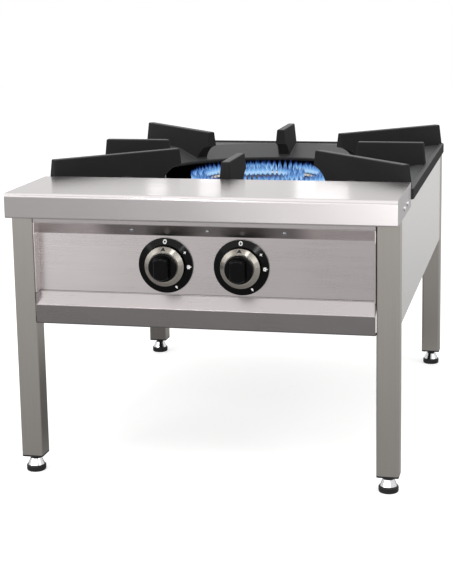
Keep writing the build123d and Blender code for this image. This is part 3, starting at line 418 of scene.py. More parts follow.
def brushed_stainless(
    name, rgb, grain, roughness, wave_mm, contrast, soot_rgb=None, spread=0.7,
    warp=None, springback=None, painted_bands=(), end_shade=1.0,
):
    """Cold-rolled stainless, brushed along one axis: highlights spread across the brushing."""
    material, tree, shader = start_material(name)
    coords = node(tree, "ShaderNodeTexCoord").outputs["Object"]
    facing = node(tree, "ShaderNodeNewGeometry").outputs["Normal"]
    place = node(tree, "ShaderNodeSeparateXYZ", {"Vector": coords}).outputs
    aim = node(tree, "ShaderNodeSeparateXYZ", {"Vector": facing}).outputs["X"]
    endways = node(tree, "ShaderNodeMath", {0: aim}, operation="ABSOLUTE").outputs["Value"]
    sizes = [BRUSH_LENGTH if axis == grain else BRUSH_WIDTH for axis in "XYZ"]
    lines = node(tree, "ShaderNodeMapping", {"Vector": coords, "Scale": [1 / size for size in sizes]})
    brush = node(tree, "ShaderNodeTexNoise", {
        "Vector": lines.outputs["Vector"], "Scale": 1.0, "Detail": 4.0, "Roughness": 0.7,
    }).outputs["Fac"]
    cloud = node(tree, "ShaderNodeTexNoise", {"Vector": coords, "Scale": 1 / (90 * MM), "Detail": 2.0})
    sheet = node(tree, "ShaderNodeTexNoise", {"Vector": coords, "Scale": 1 / (240 * MM), "Detail": 1.0})
    tone = node(tree, "ShaderNodeMix", {
        FACTOR: brush, FIRST: shade(rgb, 1.0 - contrast), SECOND: shade(rgb, 1.0 + contrast),
    }, data_type="RGBA").outputs[MIXED]
    rub = node(tree, "ShaderNodeMath", {0: brush, 1: cloud.outputs["Fac"]}, operation="ADD")
    gloss = node(tree, "ShaderNodeMapRange", {
        "Value": rub.outputs["Value"], "From Min": 0.6, "From Max": 1.4,
        "To Min": roughness - 0.5 * contrast, "To Max": roughness + 0.7 * contrast,
    }).outputs["Result"]
    normal = node(tree, "ShaderNodeBump", {
        "Height": sheet.outputs["Fac"], "Strength": 1.0, "Distance": wave_mm * MM,
    }).outputs["Normal"]
    if warp:
        normal = leaning(tree, normal, place, endways, warp)
    if springback:
        normal = sprung(tree, normal, place, springback)
    scratch = node(tree, "ShaderNodeBump", {
        "Height": brush, "Strength": 1.5 * contrast, "Distance": 0.02 * MM, "Normal": normal,
    })
    # painted light and shade: bands of the sheet are made paler or darker
    if painted_bands:
        tone = patched(tree, tone, rgb, place, painted_bands)
    if end_shade < 1.0:
        # caps are welded into each side of the fold, and their faces are painted darker as shade
        cap = node(tree, "ShaderNodeMath", {0: endways, 1: END_ON}, operation="GREATER_THAN").outputs["Value"]
        tone = node(tree, "ShaderNodeMix", {
            FACTOR: cap, FIRST: tone, SECOND: shade(rgb, end_shade),
        }, data_type="RGBA").outputs[MIXED]
    if soot_rgb:
        # heat and soot darken it inside
        sooty = inside(tree, coords, facing, place)
        tone = node(tree, "ShaderNodeMix", {
            FACTOR: sooty, FIRST: tone, SECOND: shade(soot_rgb, 1.0),
        }, data_type="RGBA").outputs[MIXED]
        gloss = node(tree, "ShaderNodeMapRange", {
            "Value": sooty, "To Min": gloss, "To Max": SOOT_ROUGHNESS,
        }).outputs["Result"]
    along = tuple(1.0 if axis == grain else 0.1 for axis in "XYZ")  # aslant, so that no face lies across it
    across = node(tree, "ShaderNodeVectorMath", {0: facing, 1: along}, operation="CROSS_PRODUCT")
    fill(tree, shader, {
        "Base Color": tone, "Metallic": 1.0, "Roughness": gloss, "Anisotropic": spread,
        "Tangent": across.outputs["Vector"], "Normal": scratch.outputs["Normal"],
    })
    return material


def enamelled_iron(name, rgb, top_sheen_rgb, edge_rgb):
    """Sand-cast iron under matt black enamel: a fine pebbled skin, rubbed thin along the edges, and level
    faces painted paler for the sheen of the light from above.
    """
    material, tree, shader = start_material(name)
    coords = node(tree, "ShaderNodeTexCoord").outputs["Object"]
    grain = node(tree, "ShaderNodeTexNoise", {
        "Vector": coords, "Scale": 1 / (3 * MM), "Detail": 4.0, "Roughness": 0.65,
    })
    patch = node(tree, "ShaderNodeTexNoise", {"Vector": coords, "Scale": 1 / (70 * MM), "Detail": 3.0})
    tone = node(tree, "ShaderNodeMix", {
        FACTOR: patch.outputs["Fac"], FIRST: shade(rgb, 0.75), SECOND: shade(rgb, 1.3),
    }, data_type="RGBA")
    facing = node(tree, "ShaderNodeNewGeometry").outputs["Normal"]
    level = node(tree, "ShaderNodeSeparateXYZ", {"Vector": facing}).outputs["Z"]
    # painted sheen: faces that look up are mixed towards a paler colour
    upward = node(tree, "ShaderNodeMapRange", {"Value": level, "From Min": 0.6, "From Max": 0.98})
    tops = node(tree, "ShaderNodeMix", {
        FACTOR: upward.outputs["Result"], FIRST: tone.outputs[MIXED], SECOND: shade(top_sheen_rgb, 1.0),
    }, data_type="RGBA")
    rounded = node(tree, "ShaderNodeBevel", {"Radius": 4 * MM}, samples=8)
    turn = node(tree, "ShaderNodeVectorMath", {
        0: rounded.outputs["Normal"], 1: facing,
    }, operation="DOT_PRODUCT")
    edge = node(tree, "ShaderNodeMapRange", {
        "Value": turn.outputs["Value"], "From Min": 0.99, "From Max": 0.85, "To Min": 0.0, "To Max": 0.8,
    })
    worn = node(tree, "ShaderNodeMix", {
        FACTOR: edge.outputs["Result"], FIRST: tops.outputs[MIXED], SECOND: shade(edge_rgb, 1.0),
    }, data_type="RGBA")
    # tops are rubbed smooth by pans and cloths, and upright sides keep the skin of the sand
    rubbed = node(tree, "ShaderNodeMapRange", {
        "Value": level, "From Min": 0.3, "From Max": 0.95, "To Min": 0.9, "To Max": 0.4,
    })
    gloss = node(tree, "ShaderNodeMath", {
        0: grain.outputs["Fac"], 1: 0.2, 2: rubbed.outputs["Result"],
    }, operation="MULTIPLY_ADD")
    skin = node(tree, "ShaderNodeBump", {
        "Height": grain.outputs["Fac"], "Strength": 0.5, "Distance": 0.25 * MM,
        "Normal": rounded.outputs["Normal"],
    })
    fill(tree, shader, {
        "Base Color": worn.outputs[MIXED], "Metallic": 0.0, "Roughness": gloss.outputs["Value"],
        "IOR": 1.4, "Specular IOR Level": 0.42, "Normal": skin.outputs["Normal"],
    })
    return material


def bare_iron(name, rgb, edge_rgb):
    """Bare grey cast iron: a rough skin, browned by heat, and bright where its edges are machined."""
    material, tree, shader = start_material(name)
    coords = node(tree, "ShaderNodeTexCoord").outputs["Object"]
    grain = node(tree, "ShaderNodeTexNoise", {"Vector": coords, "Scale": 1 / (2.5 * MM), "Detail": 5.0})
    heat = node(tree, "ShaderNodeTexNoise", {"Vector": coords, "Scale": 1 / (45 * MM), "Detail": 3.0})
    tone = node(tree, "ShaderNodeMix", {
        FACTOR: heat.outputs["Fac"], FIRST: shade(rgb, 0.7), SECOND: shade(rgb, 1.25),
    }, data_type="RGBA")
    facing = node(tree, "ShaderNodeNewGeometry").outputs["Normal"]
    up = node(tree, "ShaderNodeSeparateXYZ", {"Vector": facing}).outputs["Z"]
    chamfer = node(tree, "ShaderNodeMath", {
        0: up, 1: math.sqrt(0.5), 2: 0.1,
    }, operation="COMPARE").outputs["Value"]
    edged = node(tree, "ShaderNodeMix", {
        FACTOR: chamfer, FIRST: tone.outputs[MIXED], SECOND: shade(edge_rgb, 1.0),
    }, data_type="RGBA")
    gloss = node(tree, "ShaderNodeMapRange", {"Value": chamfer, "To Min": 0.62, "To Max": 0.36})
    skin = node(tree, "ShaderNodeBump", {
        "Height": grain.outputs["Fac"], "Strength": 0.7, "Distance": 0.3 * MM,
    })
    fill(tree, shader, {
        "Base Color": edged.outputs[MIXED], "Metallic": 0.6, "Roughness": gloss.outputs["Result"],
        "Normal": skin.outputs["Normal"],
    })
    return material


def moulded_plastic(name, rgb, specular, roughness, grain_mm, depth_mm):
    """Moulded thermoset or plastic: the mould's own skin, glossy or finely grained."""
    material, tree, shader = start_material(name)
    coords = node(tree, "ShaderNodeTexCoord").outputs["Object"]
    grain = node(tree, "ShaderNodeTexNoise", {
        "Vector": coords, "Scale": 1 / (grain_mm * MM), "Detail": 3.0,
    })
    handling = node(tree, "ShaderNodeTexNoise", {"Vector": coords, "Scale": 1 / (14 * MM), "Detail": 2.0})
    tone = node(tree, "ShaderNodeMix", {
        FACTOR: handling.outputs["Fac"], FIRST: shade(rgb, 0.8), SECOND: shade(rgb, 1.3),
    }, data_type="RGBA")
    gloss = node(tree, "ShaderNodeMapRange", {
        "Value": handling.outputs["Fac"], "From Min": 0.3, "From Max": 0.7,
        "To Min": roughness * 0.8, "To Max": roughness * 1.3,
    })
    skin = node(tree, "ShaderNodeBump", {
        "Height": grain.outputs["Fac"], "Strength": 0.4, "Distance": depth_mm * MM,
    })
    fill(tree, shader, {
        "Base Color": tone.outputs[MIXED], "Roughness": gloss.outputs["Result"],
        "Specular IOR Level": specular, "Normal": skin.outputs["Normal"],
    })
    return material


def turned_steel(name, rgb, centre):
    """Steel turned on a lathe: fine rings round the spindle, and highlights that fan out from it."""
    material, tree, shader = start_material(name)
    coords = node(tree, "ShaderNodeTexCoord").outputs["Object"]
    local = node(tree, "ShaderNodeVectorMath", {
        0: coords, 1: (centre.x, 0.0, centre.z),
    }, operation="SUBTRACT")
    flat = node(tree, "ShaderNodeVectorMath", {
        0: local.outputs["Vector"], 1: (1.0, 0.0, 1.0),
    }, operation="MULTIPLY")
    radius = node(tree, "ShaderNodeVectorMath", {0: flat.outputs["Vector"]}, operation="LENGTH")
    marks = node(tree, "ShaderNodeMath", {
        0: radius.outputs["Value"], 1: 1 / TOOL_MARK,
    }, operation="MULTIPLY")
    rings = node(tree, "ShaderNodeTexNoise", {
        "W": marks.outputs["Value"], "Scale": 1.0, "Detail": 3.0,
    }, noise_dimensions="1D")
    tone = node(tree, "ShaderNodeMix", {
        FACTOR: rings.outputs["Fac"], FIRST: shade(rgb, 0.85), SECOND: shade(rgb, 1.12),
    }, data_type="RGBA")
    outward = node(tree, "ShaderNodeVectorMath", {0: flat.outputs["Vector"]}, operation="NORMALIZE")
    fill(tree, shader, {
        "Base Color": tone.outputs[MIXED], "Metallic": 1.0, "Roughness": 0.24, "Anisotropic": 0.9,
        "Tangent": outward.outputs["Vector"],
    })
    return material


def plain_metal(name, rgb, roughness, grain_mm, tarnish):
    """Plated, drawn or machined metal: an even colour that tarnish and handling vary a little."""
    material, tree, shader = start_material(name)
    coords = node(tree, "ShaderNodeTexCoord").outputs["Object"]
    grain = node(tree, "ShaderNodeTexNoise", {
        "Vector": coords, "Scale": 1 / (grain_mm * MM), "Detail": 4.0,
    })
    tone = node(tree, "ShaderNodeMix", {
        FACTOR: grain.outputs["Fac"], FIRST: shade(rgb, 1.0 - tarnish), SECOND: shade(rgb, 1.0 + tarnish),
    }, data_type="RGBA")
    gloss = node(tree, "ShaderNodeMapRange", {
        "Value": grain.outputs["Fac"], "From Min": 0.3, "From Max": 0.7,
        "To Min": roughness * 0.8, "To Max": roughness * 1.25,
    })
    fill(tree, shader, {
        "Base Color": tone.outputs[MIXED], "Metallic": 1.0, "Roughness": gloss.outputs["Result"],
    })
    return material


def print_ink(name, rgb):
    """Pad-printed ink: an even matt film, slightly mottled."""
    material, tree, shader = start_material(name)
    coords = node(tree, "ShaderNodeTexCoord").outputs["Object"]
    mottle = node(tree, "ShaderNodeTexNoise", {"Vector": coords, "Scale": 1 / (1.5 * MM), "Detail": 2.0})
    tone = node(tree, "ShaderNodeMix", {
        FACTOR: mottle.outputs["Fac"], FIRST: shade(rgb, 0.92), SECOND: shade(rgb, 1.04),
    }, data_type="RGBA")
    fill(tree, shader, {"Base Color": tone.outputs[MIXED], "Roughness": 0.45})
    return material


def gas_flame(name, flames, base_z):
    """Clean gas flame with its own light: pale blue above the port, deeper and thinner towards its tip."""
    material, tree, shader = start_material(name)
    coords = node(tree, "ShaderNodeTexCoord").outputs["Object"]
    height = node(tree, "ShaderNodeSeparateXYZ", {"Vector": coords}).outputs["Z"]
    rise = node(tree, "ShaderNodeMapRange", {
        "Value": height, "From Min": base_z, "From Max": base_z + flames.height,
    })
    ramp = node(tree, "ShaderNodeValToRGB", {"Fac": rise.outputs["Result"]})
    stops = ramp.color_ramp.elements
    stops[0].color = shade(flames.root, 1.0)
    stops[1].position, stops[1].color = FLAME_TIP, shade(flames.tip, 1.0)
    for height_share, rgb in ((FLAME_BODY, flames.body), (FLAME_MANTLE, flames.mantle)):
        stops.new(height_share).color = shade(rgb, 1.0)
    thin = node(tree, "ShaderNodeMapRange", {
        "Value": rise.outputs["Result"], "From Min": 0.4, "From Max": 0.85, "To Min": 0.92, "To Max": 0.14,
    })
    fill(tree, shader, {
        "Base Color": (0.0, 0.0, 0.0, 1.0), "Roughness": 1.0, "Specular IOR Level": 0.0,
        "Emission Color": ramp.outputs["Color"], "Emission Strength": 1.0, "Alpha": thin.outputs["Result"],
    })
    return material


# Operators

class STOVE_OT_sheet_metal(Operator):
    """Brushed stainless on the legs, ledge, panels and rail"""

    bl_idname = "stove.sheet_metal"
    bl_label = "Sheet metal"

    def execute(self, context):
        finish = context.scene.stove_finish
        sheet, soot = finish.stainless, finish.soot
        left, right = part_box("front_ledge")[0].x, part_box("front_ledge")[1].x
        bottom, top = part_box("control_panel")[0].z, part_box("control_panel")[1].z
        ledge_low, ledge_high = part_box("front_ledge")[0].z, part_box("front_ledge")[1].z
        apron_top = bottom + APRON
        fold = apron_top + SLOPE
        flange_low = top - FLANGE
        face_top = flange_low - SLOPE
        whole = 2 * right  # well past the ends of the panel
        panel = brushed_stainless(
            "stainless_control_panel", sheet, "X", roughness=0.28, wave_mm=0.3, contrast=0.06,
            soot_rgb=soot, spread=0.5, warp=(FACE_UPRIGHT, left, fold, face_top, math.radians(4)),
            springback=(apron_top, fold, math.radians(14)),
            painted_bands=(
                # painted shade on the apron, in the fold, on the lower slope and on the flange under the
                # ledge; painted light on the upper slope
                (bottom, apron_top, whole, 0.36),
                (fold - FOLD_SHADE, fold + FOLD_SHADE, whole, 0.4),
                (apron_top, fold - FOLD_SHADE, whole, 0.72),
                (flange_low, top, whole, 0.8),
                (face_top, flange_low, whole, 1.5),
                (face_top, flange_low, 0.6 * right, 0.6),  # painted shade, darker over the taps
            ),
        )
        dress(panel, "control_panel")
        ledge = brushed_stainless(
            "stainless_ledge", finish.ledge_stainless, "X", roughness=0.2, wave_mm=0.3, contrast=0.04,
            # painted shade: the ledge's cap faces are darker
            soot_rgb=soot, spread=0.88, end_shade=0.75,
            warp=(0.0, right, ledge_low, ledge_high, math.radians(9.5)),
        )
        dress(ledge, "front_ledge")
        wide = brushed_stainless(
            "stainless_brushed_along_width", sheet, "X", roughness=0.26, wave_mm=0.2, contrast=0.015,
            soot_rgb=soot,
        )
        dress(wide, "rear_panel", "front_cross_rail")
        # painted light: paler copy of the stainless on the side panels
        deep = brushed_stainless(
            "stainless_brushed_along_depth", finish.side_stainless, "Y", roughness=0.26, wave_mm=0.12,
            contrast=0.015, soot_rgb=soot,
        )
        dress(deep, *each("side_panel_{}", SIDES))
        tall = brushed_stainless(
            "stainless_brushed_along_height", finish.leg_steel, "Z", roughness=0.3, wave_mm=0.1,
            contrast=0.06,
        )
        dress(tall, *each("leg_{}", CORNERS))
        return {"FINISHED"}


class STOVE_OT_castings(Operator):
    """Enamelled iron on the grate and bare iron on the burner rings"""

    bl_idname = "stove.castings"
    bl_label = "Castings"

    def execute(self, context):
        finish = context.scene.stove_finish
        enamel = enamelled_iron("black_enamelled_cast_iron", finish.iron, finish.iron_top, finish.iron_edge)
        dress(enamel, "grate")
        dress(bare_iron("grey_cast_iron", finish.burner, finish.burner_edge), "outer_burner")
        dress(bare_iron("sooty_cast_iron", finish.burner, finish.burner), "inner_burner")
        return {"FINISHED"}


class STOVE_OT_knobs(Operator):
    """Glossy black dials and grips, and turned steel skirts"""

    bl_idname = "stove.knobs"
    bl_label = "Knobs"

    def execute(self, context):
        finish = context.scene.stove_finish
        black = moulded_plastic(
            "glossy_black_thermoset", finish.knob, specular=0.1, roughness=0.08, grain_mm=1.2, depth_mm=0.01,
        )
        dress(black, *each("dial_{}", SIDES), *each("knob_grip_{}", SIDES))
        for side in SIDES:
            skirt = f"knob_skirt_{side}"
            dress(turned_steel(f"turned_steel_{side}", finish.skirt, centre_of(skirt)), skirt)
        return {"FINISHED"}


class STOVE_OT_feet(Operator):
    """Moulded plastic on the plugs and feet, chrome on their cones"""

    bl_idname = "stove.feet"
    bl_label = "Feet"

    def execute(self, context):
        finish = context.scene.stove_finish
        black = moulded_plastic(
            "grained_black_nylon", finish.plastic, specular=0.35, roughness=0.42, grain_mm=0.8, depth_mm=0.05,
        )
        dress(black, *each("leg_plug_{}", CORNERS), *each("foot_{}", CORNERS))
        chrome = plain_metal("chrome_plate", finish.chrome, roughness=0.1, grain_mm=12, tarnish=0.04)
        dress(chrome, *each("foot_cone_{}", CORNERS), "ledge_screws")
        return {"FINISHED"}


class STOVE_OT_gas_parts(Operator):
    """Brass, copper, zinc and aluminium on the taps, pipes and fittings"""

    bl_idname = "stove.gas_parts"
    bl_label = "Gas parts"

    def execute(self, context):
        finish = context.scene.stove_finish
        brass = plain_metal("machined_brass", finish.brass, roughness=0.28, grain_mm=9, tarnish=0.12)
        for part in ("tap_body", "tap_bonnet", "tap_plug", "injector"):
            dress(brass, *each(part + "_{}", SIDES))
        dress(brass, "gas_inlet", "inlet_locknut")
        zinc = plain_metal("zinc_plated_steel", finish.zinc, roughness=0.4, grain_mm=18, tarnish=0.14)
        dress(zinc, "manifold_pipe", "supply_pipe", "pipe_clip", "burner_bolts", "tap_bonnet_screws")
        dress(zinc, *each("burner_bar_{}", ("front", "rear")))
        dress(zinc, *each("spindle_{}", SIDES), *each("tap_spring_{}", SIDES))
        copper = plain_metal("drawn_copper", finish.copper, roughness=0.3, grain_mm=10, tarnish=0.16)
        dress(copper, *each("thermocouple_{}", SIDES))
        aluminium = plain_metal("cast_aluminium", finish.aluminium, roughness=0.45, grain_mm=5, tarnish=0.1)
        dress(aluminium, *each("air_shutter_{}", SIDES))
        return {"FINISHED"}


def screw_head(radius):
    """Pan head with a round socket, standing on the origin and pointing up."""
    head = flat_circle(24, radius)
    bpy.ops.object.mode_set(mode="EDIT")
    extrude_lengths(SCREW_LENGTHS, radius)
    bpy.ops.mesh.inset(thickness=SCREW_SOCKET * radius)
    extrude_up(-SCREW_SOCKET * radius)
    close_edit()
    return head


class STOVE_OT_panel_screws(Operator):
    """Plated screws in the slope over the control panel's face"""

    bl_idname = "stove.panel_screws"
    bl_label = "Panel screws"

    def execute(self, context):
        marks = context.scene.stove_marks
        low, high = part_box("control_panel")
        place = Vector((0.0, low.y + SLOPE / 2, high.z - FLANGE - SLOPE / 2))
        tilt = Matrix.Rotation(math.radians(135), 4, "X")
        zinc = NODES["tap_bonnet_screws"].data.materials[0]
        for name, step in (("left", -1), ("middle", 0), ("right", 1)):
            screw = screw_head(marks.screw / 2)
            along = Vector((marks.screw_offset + step * marks.screw_spacing, 0.0, 0.0))
            screw.matrix_world = Matrix.Translation(place + along) @ tilt
            settle(screw)
            bpy.ops.object.shade_smooth_by_angle(angle=math.radians(40))
            finish_piece(screw, f"panel_screw_{name}", "root", zinc)
        return {"FINISHED"}


def zero_mark(marks):
    """Upright oval that stands for off."""
    ring = flat_circle(32, marks.zero / 2)
    bpy.ops.object.mode_set(mode="EDIT")
    bpy.ops.mesh.inset(thickness=marks.zero_stroke)
    bpy.ops.mesh.delete(type="FACE")
    bpy.ops.object.mode_set(mode="OBJECT")
    ring.scale.x = ZERO_WIDTH
    settle(ring)
    return ring


def spark_mark(marks):
    """Four-pointed spark."""
    star = flat_circle(8, marks.spark / 2)
    for vertex in list(star.data.vertices)[1::2]:
        vertex.co *= SPARK_WAIST
    return star


def tongue(height):
    """Single tongue of flame that points up."""
    radius = height * TONGUE_RADIUS
    drop = flat_circle(24, radius)
    for vertex in drop.data.vertices:
        if vertex.co.y > 0:
            rise = vertex.co.y / radius
            vertex.co.x *= 1 - TONGUE_TAPER * rise
            vertex.co.y = rise * (height - radius)
    drop.location.y = radius - height / 2
    settle(drop)
    return drop


def large_flame_mark(marks):
    """Three tongues of flame side by side."""
    height = marks.large_flame
    tongues = [tongue(height)]
    for hand in (-1, 1):
        side = tongue(height * SIDE_TONGUE)
        side.location = (hand * height * SIDE_OFFSET, -height * SIDE_DROP, 0.0)
        side.rotation_euler.z = -hand * SIDE_LEAN
        tongues.append(side)
    return join(tongues)


def small_flame_mark(marks):
    """One tongue of flame."""
    return tongue(marks.small_flame)


def arrow_mark(marks):
    """Arrow head with a notch in its base, pointing up."""
    half = marks.pointer / 2
    arrow = flat_circle(4, half)
    wing = ARROW_WIDTH * half
    corners = ((0.0, half), (-wing, -half), (0.0, -ARROW_NOTCH * half), (wing, -half))
    for vertex, (x, y) in zip(arrow.data.vertices, corners):
        vertex.co = (x, y, 0.0)
    return arrow


def place_on_face(piece, centre, front, radius, turn):
    """Stands a flat piece in front of a knob, at a turn clockwise from the top."""
    spot = Matrix.Translation((radius * math.sin(turn), radius * math.cos(turn), 0.0))
    stand = Matrix.Translation((centre.x, front, centre.z)) @ Matrix.Rotation(math.pi / 2, 4, "X")
    piece.matrix_world = stand @ spot @ Matrix.Rotation(-turn, 4, "Z")


DIAL_MARKS = (  # name, maker, and degrees clockwise from the top
    ("off", zero_mark, 0.0),
    ("spark", spark_mark, 56.0),
    ("large_flame", large_flame_mark, 92.0),
    ("small_flame", small_flame_mark, 153.0),
)


class STOVE_OT_dial_marks(Operator):
    """White marks on the dials: off, spark, large flame and small flame"""

    bl_idname = "stove.dial_marks"
    bl_label = "Dial marks"

    def execute(self, context):
        marks = context.scene.stove_marks
        ink = print_ink("white_print", context.scene.stove_finish.print_white)
        for side in SIDES:
            dial = f"dial_{side}"
            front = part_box(dial)[0].y - PRINT_STANDOFF
            for name, make, degrees in DIAL_MARKS:
                mark = make(marks)
                place_on_face(mark, centre_of(dial), front, marks.ring, math.radians(degrees))
                print_on(mark, dial, marks.thickness)
                finish_piece(mark, f"mark_{name}_{side}", "root", ink)
        return {"FINISHED"}


class STOVE_OT_pointers(Operator):
    """Black arrow on each knob's skirt"""

    bl_idname = "stove.pointers"
    bl_label = "Pointers"

    def execute(self, context):
        marks = context.scene.stove_marks
        ink = print_ink("black_print", context.scene.stove_finish.print_black)
        for side in SIDES:
            skirt = f"knob_skirt_{side}"
            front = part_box(skirt)[0].y - PRINT_STANDOFF
            arrow = arrow_mark(marks)
            place_on_face(arrow, centre_of(skirt), front, marks.pointer_ring, 0.0)
            print_on(arrow, skirt, marks.thickness)
            finish_piece(arrow, f"pointer_{side}", f"knob_{side}", ink)
        return {"FINISHED"}


def flame(flames):
    """One tapered flame, standing on the origin."""
    tongue_of_fire = flat_circle(6, flames.radius)
    bpy.ops.object.mode_set(mode="EDIT")
    top = extrude_lengths(FLAME_LENGTHS, flames.height)
    extrude_up(flames.height - top)
    bpy.ops.mesh.merge(type="CENTER")
    close_edit()
    return tongue_of_fire


def flame_ring(context, flames, radius, draw):
    """Flames over the three rows of ports of a ring, joined."""
    ring_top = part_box("outer_burner")[1].z
    middle = centre_of("grate")
    pattern = flame(flames)
    count = round(2 * math.pi * radius / flames.spacing)
    copies = []
    for row in FLAME_ROWS:
        for i in range(count):
            turn = (i + row / len(FLAME_ROWS)) * 2 * math.pi / count
            size = draw.uniform(*FLAME_SIZES)
            copy = pattern.copy()
            copy.data = pattern.data.copy()
            context.collection.objects.link(copy)
            copy.matrix_world = (
                Matrix.Translation((middle.x, middle.y, ring_top))
                @ Matrix.Rotation(turn, 4, "Z")
                @ Matrix.Translation((radius + row * flames.row_offset, 0.0, 0.0))
                @ Matrix.Rotation(row * flames.lean, 4, "Y")
                @ Matrix.Diagonal((1.0, 1.0, size, 1.0))
            )
            copies.append(copy)
    bpy.data.objects.remove(pattern)
    ring = join(copies)
    settle(ring)
    bpy.ops.object.shade_smooth_by_angle(angle=math.radians(50))
    return ring


class STOVE_OT_flames(Operator):
    """Blue flames over the ports of both rings"""

    bl_idname = "stove.flames"
    bl_label = "Flames"

    def execute(self, context):
        flames = context.scene.stove_flames
        material = gas_flame("gas_flame", flames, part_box("outer_burner")[1].z)
        draw = random.Random(FLAME_SEED)
        for name, radius in (("outer", flames.outer_ring), ("inner", flames.inner_ring)):
            ring = flame_ring(context, flames, radius, draw)
            finish_piece(ring, f"flames_{name}", "root", material)
        return {"FINISHED"}


def seen(tree):
    """Socket that is 1 for rays from the camera, and for what metal or glass shows of the room."""
    path = node(tree, "ShaderNodeLightPath")
    mirrored = node(tree, "ShaderNodeMath", {
        0: path.outputs["Is Camera Ray"], 1: path.outputs["Is Glossy Ray"],
    }, operation="MAXIMUM")
    return node(tree, "ShaderNodeMath", {
        0: mirrored.outputs["Value"], 1: path.outputs["Is Transmission Ray"],
    }, operation="MAXIMUM").outputs["Value"]


def studio_world():
    """Even studio light in a white room."""
    world = bpy.data.worlds.new("studio")
    world.use_nodes = True
    tree = world.node_tree
    level = node(tree, "ShaderNodeMapRange", {"Value": seen(tree), "To Min": 0.5, "To Max": 1.0})
    fill(tree, tree.nodes["Background"], {"Color": (1.0, 1.0, 1.0, 1.0), "Strength": level.outputs["Result"]})
    return world


def floor_material(studio):
    """Matt white paper sweep: it shows white, and the object's own shadow darkens it a little."""
    material, tree, shader = start_material("white_paper")
    coords = node(tree, "ShaderNodeTexCoord").outputs["Object"]
    fibre = node(tree, "ShaderNodeTexNoise", {"Vector": coords, "Scale": 1 / (4 * MM), "Detail": 2.0})
    tone = node(tree, "ShaderNodeMix", {
        FACTOR: fibre.outputs["Fac"], FIRST: shade(studio.floor, 0.99), SECOND: shade(studio.floor, 1.01),
    }, data_type="RGBA")
    glow = node(tree, "ShaderNodeMapRange", {"Value": seen(tree), "To Min": 0.15, "To Max": 0.55})
    fill(tree, shader, {
        "Base Color": tone.outputs[MIXED], "Roughness": 0.9, "Specular IOR Level": 0.1,
        "Emission Color": (1.0, 1.0, 1.0, 1.0), "Emission Strength": glow.outputs["Result"],
    })
    return material


CARD_TONES = (  # distance from the card's middle, and grey; the dark middle is the stove's shadow, painted
    (0.25, 0.14),
    (0.45, 0.3),
    (0.6, 0.44),
    (1.4, 0.54),
    (2.8, 0.66),
)


def card_material():
    """Grey studio floor that only the metal and the black plastic see, with the stove's shadow painted on it
    as a darker middle.
    """
    material, tree, shader = start_material("grey_card")
    coords = node(tree, "ShaderNodeTexCoord").outputs["Object"]
    distance = node(tree, "ShaderNodeVectorMath", {0: coords}, operation="LENGTH").outputs["Value"]
    reach = CARD_TONES[-1][0]
    share = node(tree, "ShaderNodeMath", {0: distance, 1: reach}, operation="DIVIDE").outputs["Value"]
    ramp = node(tree, "ShaderNodeValToRGB", {"Fac": share})
    stops = ramp.color_ramp.elements
    while len(stops) < len(CARD_TONES):
        stops.new(0.5)
    for stop, (place, grey) in zip(stops, CARD_TONES):
        stop.position = place / reach
        stop.color = (grey, grey, grey, 1.0)
    fill(tree, shader, {
        "Base Color": (0.0, 0.0, 0.0, 1.0), "Roughness": 1.0, "Specular IOR Level": 0.0,
        "Emission Color": ramp.outputs["Color"], "Emission Strength": 1.0,
    })
    return material


def stage_plane(context, name, size, place, material, mirrored_only):
    """Level square under the object. It may be there only for what metal shows of it."""
    deselect()
    bpy.ops.mesh.primitive_plane_add(size=size, location=place)
    plane = context.object
    plane.name = name
    plane.data.materials.append(material)
    if mirrored_only:
        plane.visible_camera = False
        plane.visible_diffuse = False
        plane.visible_shadow = False


LAMPS = (  # name, place, aim, width, height and power
    ("key", (-2.8, -2.6, 2.0), (0.0, 0.0, 0.4), 2.4, 2.4, 40.0),
    ("fill", (2.8, -1.2, 2.2), (0.0, 0.0, 0.4), 2.0, 2.0, 25.0),
    ("top", (-0.3, -0.4, 3.4), (0.0, 0.1, 0.5), 4.0, 4.0, 30.0),
    ("spot", (-0.7, -3.0, 1.75), (0.0, -0.4, 0.4), 0.2, 0.2, 5.0),
    ("flash", (0.4, -3.35, 0.95), (0.0, -0.4, 0.4), 0.45, 0.12, 3.0),
    ("glint", (0.75, -1.8, 2.35), (0.0, -0.45, 0.4), 0.5, 0.5, 5.0),
    ("strip", (0.0, -4.0, 1.45), (0.0, 0.0, 0.5), 6.0, 1.3, 26.0),
    ("window_right", (-0.34, 3.0, 1.05), (0.17, -0.3, 0.46), 0.22, 0.5, 0.6),
    ("window_middle", (-0.83, 3.0, 1.05), (-0.05, -0.3, 0.46), 0.08, 0.5, 0.18),
    ("window_left", (-1.06, 3.0, 1.05), (-0.14, -0.3, 0.46), 0.08, 0.5, 0.18),
)


def add_lamp(context, name, place, aim, width, height, power):
    """Soft lamp that looks at a point."""
    bpy.ops.object.light_add(type="AREA", location=place)
    lamp = context.object
    lamp.name = f"lamp_{name}"
    lamp.data.shape = "RECTANGLE"
    lamp.data.size, lamp.data.size_y = width, height
    lamp.data.energy = power
    lamp.rotation_euler = (Vector(aim) - Vector(place)).to_track_quat("-Z", "Y").to_euler()


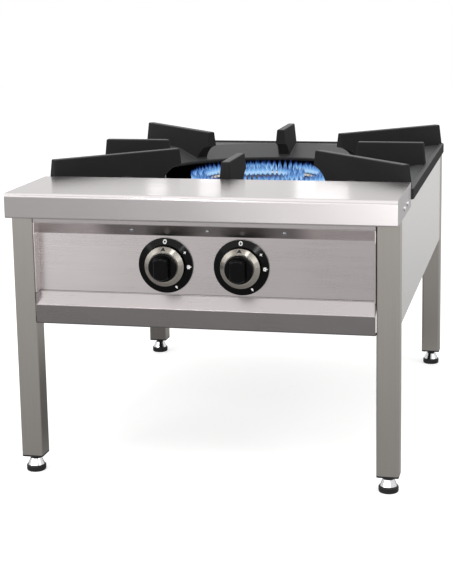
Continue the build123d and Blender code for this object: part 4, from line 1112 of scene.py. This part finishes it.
def add_camera(context, studio):
    """Camera that stands where the photograph was taken."""
    bpy.ops.object.camera_add()
    camera = context.object
    camera.name = "photo_camera"
    forward = Vector((
        math.sin(studio.yaw) * math.cos(studio.pitch),
        math.cos(studio.yaw) * math.cos(studio.pitch),
        -math.sin(studio.pitch),
    ))
    level = Vector((math.cos(studio.yaw), -math.sin(studio.yaw), 0.0))
    turn = Matrix((level, level.cross(forward), -forward)).transposed().to_4x4()
    camera.matrix_world = Matrix.Translation(studio.camera) @ turn @ Matrix.Rotation(-studio.roll, 4, "Z")
    camera.data.sensor_width = SENSOR
    camera.data.lens = studio.focal / max(PHOTO_SIZE) * SENSOR
    camera.data.shift_x, camera.data.shift_y = studio.shift
    context.scene.camera = camera


class STOVE_OT_studio(Operator):
    """Camera, floor and soft lights"""

    bl_idname = "stove.studio"
    bl_label = "Studio"

    def execute(self, context):
        studio = context.scene.stove_studio
        context.scene.view_settings.view_transform = "Standard"
        context.scene.world = studio_world()
        stage_plane(context, "floor", 16.0, (0.0, 0.0, 0.0), floor_material(studio), False)
        stage_plane(context, "grey_card", 12.0, (-0.2, 0.05, 1 * MM), card_material(), True)
        for lamp in LAMPS:
            add_lamp(context, *lamp)
        add_camera(context, studio)
        return {"FINISHED"}


STEPS = (
    STOVE_OT_sheet_metal,
    STOVE_OT_castings,
    STOVE_OT_knobs,
    STOVE_OT_feet,
    STOVE_OT_gas_parts,
    STOVE_OT_panel_screws,
    STOVE_OT_dial_marks,
    STOVE_OT_pointers,
    STOVE_OT_flames,
    STOVE_OT_studio,
)
SETTINGS = {
    "stove_finish": StoveFinish,
    "stove_marks": StoveMarks,
    "stove_flames": StoveFlames,
    "stove_studio": StoveStudio,
}


class STOVE_PT_sidebar(Panel):
    """Lists the stove's steps and settings"""

    bl_idname = "STOVE_PT_sidebar"
    bl_label = "Stock pot stove"
    bl_space_type = "VIEW_3D"
    bl_region_type = "UI"
    bl_category = "Stove"

    def draw(self, context):
        for step in STEPS:
            self.layout.operator(step.bl_idname)
        for name, group in SETTINGS.items():
            box = self.layout.box()
            for key in group.__annotations__:
                box.prop(getattr(context.scene, name), key)


def register():
    for group in SETTINGS.values():
        bpy.utils.register_class(group)
    for step in STEPS:
        bpy.utils.register_class(step)
    bpy.utils.register_class(STOVE_PT_sidebar)
    for name, group in SETTINGS.items():
        setattr(bpy.types.Scene, name, PointerProperty(type=group))


def unregister():
    for name in SETTINGS:
        delattr(bpy.types.Scene, name)
    bpy.utils.unregister_class(STOVE_PT_sidebar)
    for step in reversed(STEPS):
        bpy.utils.unregister_class(step)
    for group in reversed(SETTINGS.values()):
        bpy.utils.unregister_class(group)


def main():
    register()
    bpy.ops.stove.sheet_metal()
    bpy.ops.stove.castings()
    bpy.ops.stove.knobs()
    bpy.ops.stove.feet()
    bpy.ops.stove.gas_parts()
    bpy.ops.stove.panel_screws()
    bpy.ops.stove.dial_marks()
    bpy.ops.stove.pointers()
    bpy.ops.stove.flames()
    bpy.ops.stove.studio()


if __name__ == "__main__":
    main()
